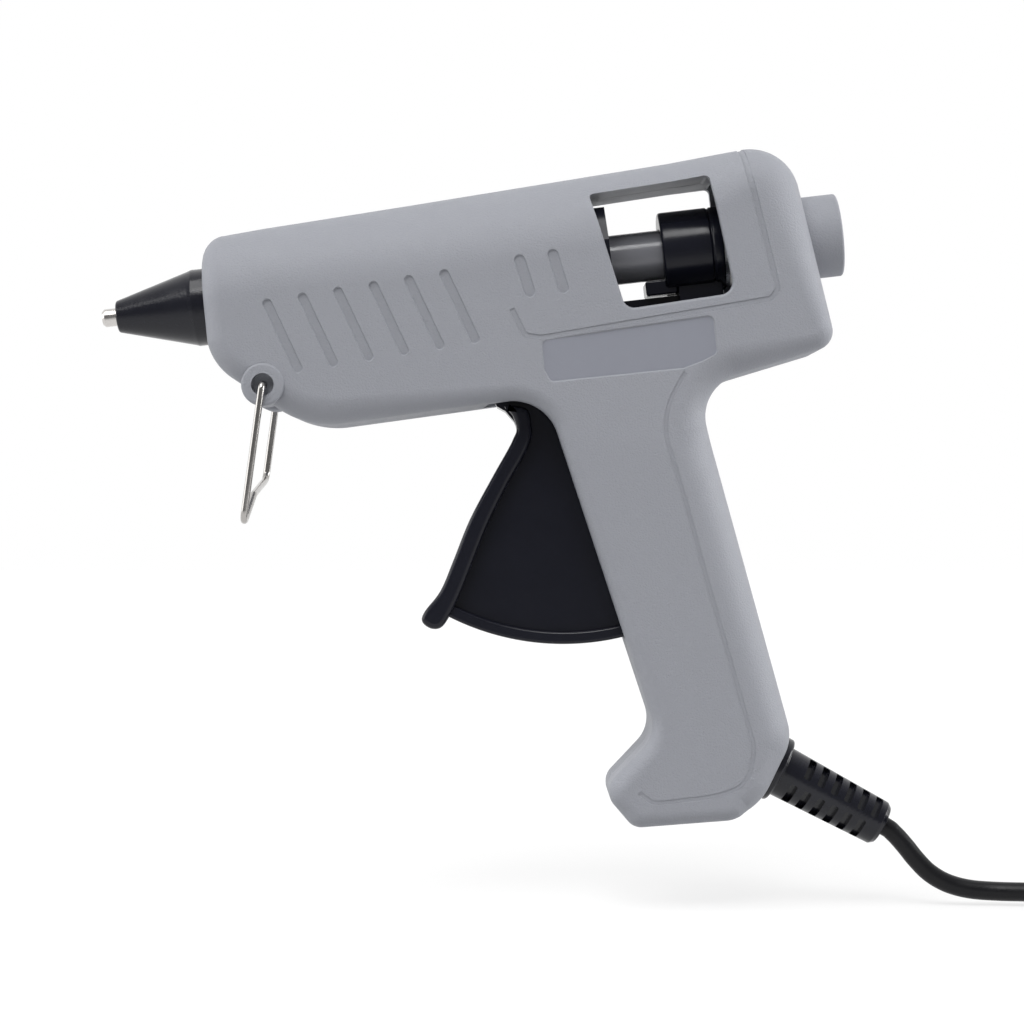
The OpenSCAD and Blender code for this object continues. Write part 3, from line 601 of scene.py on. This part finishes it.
def body_rows(skin, width, steps):
    """Rings of half the housing from the parting plane to its side, on the +Y side."""
    soft = [max(BODY[corner][3] - skin, LEAST_ROUNDING) for corner in BODY_CORNERS]
    top = [p - n * (skin + s) for (p, n, _), s in zip(BODY_LOOP, soft)]
    back, front = top[BACK_I], top[FRONT_I]
    over = (back - front).normalized()
    down = Vector((over.y, -over.x))
    high = [width - GRIP_TAPER * max(0, (q - back).dot(down)) for q in top]
    count = len(soft)

    def ring(insets, levels):
        flat = [p - n * i for (p, n, _), i in zip(BODY_LOOP, insets)]
        return [Vector((q.x, y, q.y)) for q, y in zip(flat, levels)]

    rows = [ring([skin] * count, [-1] * count)]
    if skin == 0:
        rows = [ring([SEAM_BEVEL] * count, [SEAM_GAP] * count),
                ring([0] * count, [SEAM_DEPTH] * count)]
    for a in quarter_turn(steps):
        insets = [skin + s * (1 - math.cos(a)) for s in soft]
        rows.append(ring(insets, [h - s + s * math.sin(a) for h, s in zip(high, soft)]))
    return rows


def half_body(skin, width, steps):
    """Half of the housing, or of the hollow inside its skin, as a solid on the +Y side."""
    rows = body_rows(skin, width, steps)
    n = len(BODY_LOOP)
    cap = (len(rows) - 1) * n
    points, faces = loft(rows)
    faces[-1] = [cap + i for i in range(BACK_I, FRONT_I + 1)]
    faces.append([cap + i for i in [*range(FRONT_I, n), *range(BACK_I + 1)]])
    return points, faces


def nose_form(skin):
    """The barrel's arched section, rounded towards the front face, and clear of the rest."""
    clear, behind, below = 0.03, -9, -120
    side, high = HALF_W + clear - skin, NOSE_TOP + clear - skin
    arch = round_corners(clockwise([
        (behind, high, 0), (side, high, NOSE_ARCH_R - skin), (side, below, 0), (behind, below, 0),
    ]), 18)
    edge = NOSE_EDGE - skin
    sections = [(NOSE_X + skin + edge * (1 - math.cos(a)), edge * (1 - math.sin(a)))
                for a in quarter_turn(8)]
    rings = []
    for x, inset in sections + [(80, -3)]:
        flat = [p - n * inset for p, n, _ in arch]
        rings.append([
            Vector((x + NOSE_TILT * (q.y - NOSE_TOP), q.x, q.y + TOP_SLOPE * (x - NOSE_X)))
            for q in flat])
    return loft(rings)


def half_shell(turn):
    """Half of the housing with its hollow, and an open parting plane."""
    hollow = solid("hollow", turn(half_body(WALL, HALF_W - WALL, HOLLOW_STEPS)))
    combine(hollow, turn(nose_form(WALL)), "INTERSECT")
    piece = solid("half", turn(half_body(0, HALF_W, SKIN_STEPS)))
    combine(piece, turn(nose_form(0)), "INTERSECT")
    return cut(piece, shape_of(hollow))


# Housing: what is joined to it and cut into it

# The right shell's window reaches a little farther back
WINDOW_LEFT = [(-12, 99.1, 1), (19.2, 100.4, 1.4), (22.3, 69.3, 3.4), (-6, 68.3, 3)]
WINDOW_RIGHT = [(-12, 99.1, 1), (21.6, 100.4, 1.4), (23, 69.3, 3.4), (-6, 68.3, 3)]
WINDOW_LIP = 0.8
WINDOW_ROOF = [(-14, 98.8), (-14, 100.1), (21, 101.5), (21, 100.1)]
LABEL = [(-28.4, 62.8), (-28.6, 55.2), (-27.2, 51.9), (6.9, 51.5), (11.8, 52.7), (16, 54.3),
         (16, 64.2)]
LABEL_DEPTH, LABEL_LIP = 0.4, 0.3
LABEL_X, LABEL_Z = (-29, 17), (51, 65)
PANEL_LINE = [(-35, 71.6), (-32.4, 64.5), (-28.4, 63.4), (31.1, 66.7), (33.1, 68.9),
              (32.5, 74.2), (29.7, 95.7), (29.2, 98.5)]
PANEL_LINE_W, PANEL_LINE_DEPTH = 1.4, 0.25
LEDGE = [
    (7.4, 50.5), (5.7, 48.4), (2.7, 43.8), (1, 38.9), (0.7, 33.8), (1.6, 28.5), (3.5, 18),
    (6.8, -2.9), (10.4, -24), (13.2, -41.2), (13.9, -46.6), (13.3, -50.4), (11.7, -54.2),
    (8.7, -57), (2.5, -58.3), (-4.7, -58.5), (-12.5, -58.4), (-14.9, -56.8), (-16.5, -55.3)]
LEDGE_W, LEDGE_DEPTH = 1.1, 0.18
# Two ends and a width: six long slots in a row, and two short ones
SLOTS = [((-96.9 + 9.16 * i, 80 + 0.47 * i), (-91 + 9.16 * i, 62.7 + 0.47 * i), 2.4)
         for i in range(6)]
SLOTS += [((-31.6, 83.8), (-29.9, 75.4), 2.8), ((-23, 84.2), (-21.3, 75.4), 2.8)]
SLOT_DEPTH, SLOT_LIP = 0.55, 0.22
# x, z and how far the head lies below the widest part of the side
SCREWS = [(-84, 55.4, 2.8), (-46, 57, 2.8), (37.1, 63, 2.8), (6, -30, 5.6), (-13, -55.5, 7.2),
          (31, 99.5, 4.8)]
SCREW_HEAD_R = 3.1
POST_R, POST_COVER = 4.4, 1.2
STAND_AT = Vector((-100.4, 59.6))
STAND_BOSS_R, STAND_BOSS_RISE = 5.5, 0.6
STAND_HOLLOW_R, STAND_HOLLOW_DEPTH = 2.9, 2.4
STAND_HOLE_R = 0.97
# Start, end and radius
NOSE_BORE, INLET_BORE, GUARD_BORE = (-125, -104, 8.2), (39, 60, 10.9), (-2.9, 5, 5.2)
PIVOT = Vector((-24, 50))
RIM_R = 66.0
SKIN = BVHTree.FromPolygons(*half_body(0, HALF_W, SKIN_STEPS))


def touch(start, aim):
    """Where a line from outside meets the housing's +Y half, and the outward direction there."""
    at, out, _, _ = SKIN.ray_cast(Vector(start), Vector(aim))
    return at, -out if out.dot(Vector(aim)) > 0 else out


def on_side(x, z):
    """Place on the housing's side over a point of its outline."""
    return touch((x, 60, z), (0, -1, 0))


def groove(places, width, depth):
    """Cutter for a channel along places on the surface, with slightly flared walls."""
    half, flare, over = width / 2, 0.2, 0.7
    section = ((-half, -depth), (half, -depth), (half + flare, over), (-half - flare, over))
    rings = []
    for k, (at, out) in enumerate(places):
        along = places[min(k + 1, len(places) - 1)][0] - places[max(k - 1, 0)][0]
        across = out.cross(along).normalized()
        rings.append([at + across * w + out * h for w, h in section])
    return loft(rings)


def panel_line():
    """Channel round the label and up the side, then over the top to the parting plane."""
    points = [Vector(p).to_3d() for p in PANEL_LINE]
    path = [points[0]]
    for a, b, c in zip(points, points[1:], points[2:]):
        path += bend(a, b, c, 1.4, 6)
    path.append(points[-1])
    places = [on_side(path[0].x, path[0].y)]
    for a, b in zip(path, path[1:]):
        parts = max(1, int((b - a).length / 2))
        for k in range(1, parts + 1):
            p = a.lerp(b, k / parts)
            places.append(on_side(p.x, p.y))
    last = places[-1][0]
    middle = Vector((0, 0, 86))
    start, end = math.atan2(last.z - middle.z, last.y), math.radians(89)
    steps, lean = 20, 0.08
    for k in range(1, steps + 1):
        a = start + (end - start) * k / steps
        aim = Vector((0, math.cos(a), math.sin(a)))
        places.append(touch(middle + Vector((last.x - lean * k, 0, 0)) + 60 * aim, -aim))
    at, out = places[-1]
    places.append((at - Vector((0, 2, 0)), out))
    return groove(places, PANEL_LINE_W, PANEL_LINE_DEPTH)


def ledge():
    """Channel that parts the handle's side from its back and foot."""
    places = [on_side(p.x, p.y) for p in smooth_path(LEDGE, 8)]
    return groove(places, LEDGE_W, LEDGE_DEPTH)


def pivot_arc(r, start, end, steps=40):
    """Points round the trigger's pivot, by degrees from straight down."""
    turns = [math.radians(start + (end - start) * k / steps) for k in range(steps + 1)]
    return [PIVOT + r * Vector((math.sin(a), -math.cos(a))) for a in turns]


def trigger_room():
    """Cutter for the trigger's swing, on the +Y side."""
    loop = [PIVOT + Vector((6, 6)), PIVOT + Vector((6, -8))]
    loop += pivot_arc(RIM_R + 0.5, 13, -70) + [PIVOT + Vector((-15.6, 1.4))]
    return pile(sharp_outline(loop), [(0, -1), (0, 10)])


def window_cut(corners):
    """Cutter for the window, with a rounded lip."""
    sections = [(0, -1), (0, HALF_W - WINDOW_LIP)]
    for a in quarter_turn(4)[1:]:
        y = HALF_W - WINDOW_LIP + (WINDOW_LIP + 0.01) * math.sin(a)
        sections.append((-WINDOW_LIP * (1 - math.cos(a)), y))
    return pile(round_corners(corners, 8), sections + [(-WINDOW_LIP - 1, HALF_W + 1)])


def shell_joins():
    """Screw posts, the stand's boss and the window's roof, on the +Y side."""
    shapes = []
    for x, z, _ in SCREWS:
        reach = min(on_side(*p)[0].y for p, _ in circle((x, z), POST_R, 12)) - POST_COVER
        shapes.append(slab(circle((x, z), POST_R), 0.1, reach))
    shapes.append(slab(circle(STAND_AT, STAND_BOSS_R), 10, HALF_W + STAND_BOSS_RISE, 0.7))
    shapes.append(slab(sharp_outline(WINDOW_ROOF), 0.05, 13))
    return shapes


def shell_cuts(side):
    """Openings, recesses and channels, on the +Y side. Only the right half has screw heads."""
    label = round_corners(clockwise(LABEL), 6, 1.6)
    shapes = [
        window_cut(WINDOW_RIGHT if side > 0 else WINDOW_LEFT),
        trigger_room(),
        bore(*NOSE_BORE),
        bore(*INLET_BORE),
        bore(*GUARD_BORE, HEEL, GUARD_AXIS, 48),
        slab(circle(STAND_AT, STAND_HOLLOW_R), HALF_W - STAND_HOLLOW_DEPTH, HALF_W + PAST),
        slab(circle(STAND_AT, STAND_HOLE_R, 24), 11.5, HALF_W),
        recess(label, HALF_W - LABEL_DEPTH, HALF_W, LABEL_LIP),
        panel_line(),
        ledge(),
    ]
    for a, b, width in SLOTS:
        shapes.append(recess(stadium(a, b, width), HALF_W - SLOT_DEPTH, HALF_W, SLOT_LIP))
    if side > 0:
        for x, z, sunk in SCREWS:
            shapes.append(slab(circle((x, z), SCREW_HEAD_R, 32), HALF_W - sunk, HALF_W + PAST))
    return shapes


def add_shell(name, node, side):
    """One half of the housing: the left one is on the -Y side."""
    turn = mirrored if side < 0 else lambda shape: shape
    piece = half_shell(turn)
    piece.name = piece.data.name = name
    join(piece, *map(turn, shell_joins()))
    cut(piece, *map(turn, shell_cuts(side)))
    dress(piece, "housing", "grey_plastic", [node])
    smooth_label(piece, side)


def smooth_label(piece, side):
    """The floor of the label recess is smooth, without the moulded grain."""
    piece.data.materials.append(SMOOTH_GREY)
    back = TOOL.inverted()
    for face in piece.data.polygons:
        at = back @ face.center
        on_floor = abs(side * at.y - HALF_W + LABEL_DEPTH) < 0.02
        if on_floor and LABEL_X[0] < at.x < LABEL_X[1] and LABEL_Z[0] < at.z < LABEL_Z[1]:
            face.material_index = 1


# Nozzle and stick feed

# Turned pieces on the stick's axis: CAD node, material, corners of (along, radius, rounding)
FEED_PIECES = {
    "nozzle_tip": ("nozzle", "nozzle_metal", [
        (-142, 1, 0), (-142, 1.75, 0.15), (-141.3, 2.35, 0.3), (-136, 2.35, 0.2), (-131, 4.5, 0.3),
        (-108.2, 4.5, 0), (-108.2, 4, 0), (-101.2, 4, 0), (-101.2, 1, 0)]),
    "nozzle_sleeve": ("nozzle_cover", "black_rubber", [
        (-138.1, 2.6, 0.3), (-138.1, 4.1, 0.7), (-118.4, 9.7, 2), (-117.4, 10.05, 0.5),
        (-113.9, 10.05, 0.3), (-113.9, 8, 0), (-108.4, 8, 0), (-108.4, 4.7, 0),
        (-131.2, 4.7, 0.2), (-136.4, 2.6, 0.2)]),
    "inlet_mouth": ("inlet_tube", "grey_plastic", [
        (36, 5.95, 0), (36, 10.8, 0.3), (38.1, 10.8, 0), (38.1, 12.5, 0), (39.8, 12.5, 0),
        (39.8, 10.8, 0), (52.8, 10.8, 0.7), (52.8, 7.15, 0.3), (51.6, 5.95, 0.3)]),
    "feed_tube": ("guide_tube", "dark_tube", [
        (-44, 5.95, 0.1), (-44, 6.55, 0.2), (12, 6.55, 0.2), (12, 5.95, 0.1)]),
}
CARRIAGE_RING = [
    (5.7, 6.85, 0.2), (5.7, 11, 0.9), (18.4, 11, 0.3), (18.9, 10.6, 0.2), (19.4, 11, 0.3),
    (21.7, 11, 0.6), (21.7, 6.2, 0.2), (20.4, 6.2, 0), (20.4, 6.85, 0)]
CARRIAGE_BORE_R = 6.85
LINK_X, LINK_Z, LINK_HOLE_R = 13.5, 67.61, 1.54
LUG_Y = 6
GRIP_SCREW_Y, GRIP_SCREW_R = 8.9, 0.85


def add_feed():
    """Turned pieces on the stick's axis."""
    for name, (node, slot, corners) in FEED_PIECES.items():
        piece = solid(name, lathe(profile_of(corners), FEED_START, FEED_AXIS))
        dress(piece, "housing", slot, [node])


def add_carriage():
    """Slide on the guide tube, with two lugs for the link and a foot under its front."""
    piece = solid("feed_carriage", lathe(profile_of(CARRIAGE_RING), FEED_START, FEED_AXIS))
    lug = rounded_box(9, LINK_Z - 3.6, 20.6, 74.2, 1.2, 5)
    foot = rounded_box(0.5, 72, 8.7, 75.8, 0.6, 4)
    join(piece, twin_plates(lug, 2.8, LUG_Y, 0.3), plate(foot, LUG_Y, 0.5))
    cut(piece, bore(-1, 20.4, CARRIAGE_BORE_R, steps=96),
        plate(circle((LINK_X, LINK_Z), LINK_HOLE_R, 24), LUG_Y + 1))
    for y in (-GRIP_SCREW_Y, GRIP_SCREW_Y):
        cut(piece, bore(16, 24, GRIP_SCREW_R, (0, y, FEED_H), steps=24))
    dress(piece, "carriage_body", "black_plastic", ["carriage"])


# Trigger

TRIGGER_FRONT = [
    (-39.6, 47.6), (-37.9, 45), (-37.2, 41.3), (-38.4, 38.8), (-40, 36.3), (-45.3, 29),
    (-52, 19.2), (-57.4, 9.2), (-61.6, 1.8), (-66.2, -3), (-67.2, -5.6), (-65, -7.7)]
TRIGGER_BACK = [
    (-62, -7.4), (-58.6, -3), (-55.6, 2), (-52.4, 8), (-47.2, 17.6), (-41, 27.2), (-36, 34),
    (-33.6, 38.5), (-33.2, 43), (-34.2, 46.4)]
WEB_FRONT = [
    (-42.2, 49.5), (-41.6, 47.8), (-39.6, 46.4), (-37.6, 43.5), (-36.5, 40), (-40, 33),
    (-54.4, 9.2), (-57.6, 1)]
WEB_R, RIM_INNER_R, HUB_R = 64.5, 62.8, 5.5
BAR_HALF_W, WEB_HALF_W, RIM_HALF_W, HUB_HALF_W = 11, 7, 9.5, 8
ARM_L = 18.0
ARM_LEAN = math.radians(12)
TRIGGER_PIN_R, ARM_PIN_R = 2.04, 1.34


def trigger_arm():
    """Outline of the arms that push the link, and the place of their pin."""
    up = Vector((math.sin(ARM_LEAN), math.cos(ARM_LEAN)))
    aside = Vector((up.y, -up.x))
    end = PIVOT + ARM_L * up
    tip = end + 3.4 * up
    corners = [PIVOT - 3.6 * aside, PIVOT + 3.6 * aside, tip + 2.4 * aside, tip - 2.4 * aside]
    return round_corners(clockwise(corners), 6, 1.2), end


def add_trigger():
    """The trigger: a finger bar, a thinner web, a rim along its lower arc, a hub and two arms."""
    bar = smooth_outline(TRIGGER_FRONT + TRIGGER_BACK, 6)
    piece = solid("trigger_lever", plate(bar, BAR_HALF_W, 1.5))
    web = [PIVOT + Vector((-4, 2)), PIVOT + Vector((-12.6, 1.2)), *WEB_FRONT]
    web += pivot_arc(WEB_R, -33, 12.2) + [PIVOT + Vector((4, -6)), PIVOT + Vector((4, 2))]
    rim = clockwise(pivot_arc(RIM_R, -36, 11.8) + pivot_arc(RIM_INNER_R, 11.8, -36))
    arm, end = trigger_arm()
    join(piece,
         plate(sharp_outline(web), WEB_HALF_W),
         plate(round_corners(rim, 1, 0), RIM_HALF_W, 0.8),
         plate(circle(PIVOT, HUB_R), HUB_HALF_W, 0.5),
         twin_plates(arm, 3, 6.5, 0.3))
    cut(piece, plate(circle(PIVOT, TRIGGER_PIN_R, 32), BAR_HALF_W + 1),
        plate(circle(end, ARM_PIN_R, 24), WEB_HALF_W))
    dress(piece, "trigger_body", "black_plastic", ["trigger"], sharp=40)


# Wire stand and cord guard

STAND_LEAN = math.radians(14.2)
STAND_Y = 22.83
STAND_END_Y = 14
WIRE_D = 1.85
NEAR_LEG, FAR_LEG = 36.5, 24.0
STEP_DOWN, STEP_Y = 28.17, -5
STAND_BENDS = [1.4, 2.6, 6, 3, 1.4]
GUARD_PROFILE = [
    (-4.9, 2.65, 0), (-4.9, 7, 0.3), (-2.9, 7, 0), (-2.9, 5, 0), (0.1, 5, 0), (0.1, 8.75, 0.3),
    (2.1, 8.75, 0.8), (2.1, 6.8, 0.4), (GUARD_L - 1.2, 6, 0.4), (GUARD_L, 5.1, 0.4),
    (GUARD_L, 2.65, 0.2)]
GUARD_SLOT_START, GUARD_SLOT_PITCH = 6.55, 4


def add_stand():
    """Bent wire: pivot end, near leg, stepped crossbar, far leg, pivot end."""
    def at(down, y):
        x = STAND_AT.x - down * math.sin(STAND_LEAN)
        return Vector((x, y, STAND_AT.y - down * math.cos(STAND_LEAN)))

    corners = [
        at(0, -STAND_END_Y), at(0, -STAND_Y), at(NEAR_LEG, -STAND_Y), at(STEP_DOWN, STEP_Y),
        at(FAR_LEG, STAND_Y), at(0, STAND_Y), at(0, STAND_END_Y)]
    path = [corners[0]]
    for a, b, c, r in zip(corners, corners[1:], corners[2:], STAND_BENDS):
        path += bend(a, b, c, r)
    piece = wire("stand_wire", path + [corners[-1]], WIRE_D, "nickel_wire")
    take_over(piece, "stand_body", ["wire_stand"])


def add_guard():
    """Slotted strain relief round the cord, with slots staggered on its four sides."""
    piece = solid("cord_boot", lathe(profile_of(GUARD_PROFILE), HEEL, GUARD_AXIS, 72))
    turn = Vector((0, 0, 1)).rotation_difference(GUARD_AXIS).to_matrix().to_4x4()
    points, faces = slab(rounded_box(-3.6, -1, 3.6, 1, 0.5, 4), 4, 8)
    slots = []
    for side in range(4):
        about = Matrix.Rotation(math.radians(45 + 90 * side), 4, "Z")
        for i in range(6):
            along = GUARD_SLOT_START + GUARD_SLOT_PITCH * (i + side % 2 / 2)
            place = Matrix.Translation(HEEL) @ turn @ Matrix.Translation((0, 0, along)) @ about
            slots.append(([place @ p for p in points], faces))
    cut(piece, merge(*slots))
    dress(piece, "housing", "black_rubber", ["cord_guard"])


# Stage

# Light levels for soft and mirrored light, on the photographer's side and behind the tool
ROOM_SOFT, ROOM_SHINE = (0.16, 0.55), (0.22, 1.0)
ROOM_FRONT, ROOM_BACK = -0.6, 0.4
# The floor's grey for bounced light and as seen, its glow, and where its reflection fades in
FLOOR_GREY, FLOOR_GREY_SEEN, FLOOR_GLOW = 0.62, 0.26, 0.74
FLOOR_FADE = (-0.8, -0.15)
FLOOR_HALF = 4
# Strength, spread in degrees and direction
LAMPS = {
    "top_light": (1.8, 45, (0.2, 0.5, -1)),
    "front_light": (0.35, 18, (0.05, 0.85, -1)),
    "nose_light": (0.4, 22, (0.49, 0.58, -0.65)),
    "right_light": (3.2, 45, (-1, 0, -0.08)),
    "left_light": (1.1, 50, (1, 0.05, -0.2)),
}


def feed_sockets(tree, sockets, values):
    """Give each socket its value: a number or another node's output."""
    for socket, value in zip(sockets, values):
        if isinstance(value, (int, float)):
            socket.default_value = value
        else:
            tree.links.new(value, socket)


def add_math(tree, a, b, operation):
    """Math node of two values."""
    node = tree.nodes.new("ShaderNodeMath")
    node.operation = operation
    feed_sockets(tree, node.inputs, (a, b))
    return node.outputs["Value"]


def add_mix(tree, a, b, factor):
    """Mix node from value a to value b."""
    node = tree.nodes.new("ShaderNodeMix")
    feed_sockets(tree, [node.inputs[key] for key in ("Factor", "A", "B")], (factor, a, b))
    return node.outputs["Result"]


def add_ramp(tree, coordinates, low, high):
    """Value that goes from 0 to 1 as Y goes from low to high."""
    split = tree.nodes.new("ShaderNodeSeparateXYZ")
    source = tree.nodes.new("ShaderNodeTexCoord").outputs[coordinates]
    tree.links.new(source, split.inputs["Vector"])
    ramp = tree.nodes.new("ShaderNodeMapRange")
    ramp.inputs["From Min"].default_value = low
    ramp.inputs["From Max"].default_value = high
    tree.links.new(split.outputs["Y"], ramp.inputs["Value"])
    return ramp.outputs["Result"]


def add_world():
    """White surroundings. Reflections see white behind the tool and a dim room before it."""
    world = bpy.data.worlds.new("studio")
    bpy.context.scene.world = world
    world.use_nodes = True
    tree = world.node_tree
    sky = tree.nodes["Background"]
    sky.inputs["Color"].default_value = (1, 1, 1, 1)
    ray = tree.nodes.new("ShaderNodeLightPath").outputs
    back = add_ramp(tree, "Generated", ROOM_FRONT, ROOM_BACK)
    soft, shine = add_mix(tree, *ROOM_SOFT, back), add_mix(tree, *ROOM_SHINE, back)
    lit = add_mix(tree, soft, shine, ray["Is Glossy Ray"])
    seen = add_math(tree, ray["Is Camera Ray"], ray["Is Transmission Ray"], "MAXIMUM")
    tree.links.new(add_mix(tree, lit, 1.0, seen), sky.inputs["Strength"])


def make_paper():
    """White paper that keeps its shadow, and glows as it is seen or mirrored."""
    paper = bpy.data.materials.new("paper")
    paper.use_nodes = True
    tree = paper.node_tree
    tree.nodes.clear()
    matt = tree.nodes.new("ShaderNodeBsdfDiffuse")
    glow = tree.nodes.new("ShaderNodeEmission")
    ray = tree.nodes.new("ShaderNodeLightPath").outputs
    near = add_ramp(tree, "Object", *FLOOR_FADE)
    seen = add_math(tree, ray["Is Camera Ray"], ray["Is Glossy Ray"], "MAXIMUM")
    grey = add_mix(tree, FLOOR_GREY, FLOOR_GREY_SEEN, seen)
    tree.links.new(grey, matt.inputs["Color"])
    reflected = add_math(tree, ray["Is Glossy Ray"], near, "MULTIPLY")
    bright = add_math(tree, ray["Is Camera Ray"], reflected, "MAXIMUM")
    tree.links.new(add_mix(tree, 0.0, FLOOR_GLOW, bright), glow.inputs["Strength"])
    both = tree.nodes.new("ShaderNodeAddShader")
    tree.links.new(matt.outputs["BSDF"], both.inputs[0])
    tree.links.new(glow.outputs["Emission"], both.inputs[1])
    surface = tree.nodes.new("ShaderNodeOutputMaterial").inputs["Surface"]
    tree.links.new(both.outputs["Shader"], surface)
    return paper


def add_floor():
    """Paper floor just under the cord."""
    mesh = bpy.data.meshes.new("floor")
    corners = [(x * FLOOR_HALF, y * FLOOR_HALF, 0) for x, y in ((-1, -1), (1, -1), (1, 1), (-1, 1))]
    mesh.from_pydata(corners, [], [(0, 1, 2, 3)])
    floor = bpy.data.objects.new("floor", mesh)
    floor.location.z = (FLOOR_Z - 0.2) * MM
    bpy.context.scene.collection.objects.link(floor)
    mesh.materials.append(make_paper())


def add_lamps():
    """Soft light from above, the front and both ends."""
    for name, (strength, spread, aim) in LAMPS.items():
        lamp = bpy.data.lights.new(name, "SUN")
        lamp.energy = strength
        lamp.angle = math.radians(spread)
        light = bpy.data.objects.new(name, lamp)
        light.rotation_euler = Vector(aim).to_track_quat("-Z", "Y").to_euler()
        bpy.context.scene.collection.objects.link(light)


def add_stage():
    """White floor and world, with soft light."""
    bpy.context.scene.view_settings.view_transform = "Standard"
    add_world()
    add_floor()
    add_lamps()


def dress_nodes():
    """Materials for the CAD nodes that stay as they are."""
    slots = {part["node"]: part["material_slot"] for part in frame["record"]["subparts"]}
    for name, node in frame["nodes"].items():
        node.data.materials.clear()
        node.data.materials.append(FINISHES[slots[name]])


add_camera()
add_cord()
dress_nodes()
add_shell("left_housing", "left_shell", -1)
add_shell("right_housing", "right_shell", 1)
add_feed()
add_carriage()
add_trigger()
add_stand()
add_guard()
add_stage()
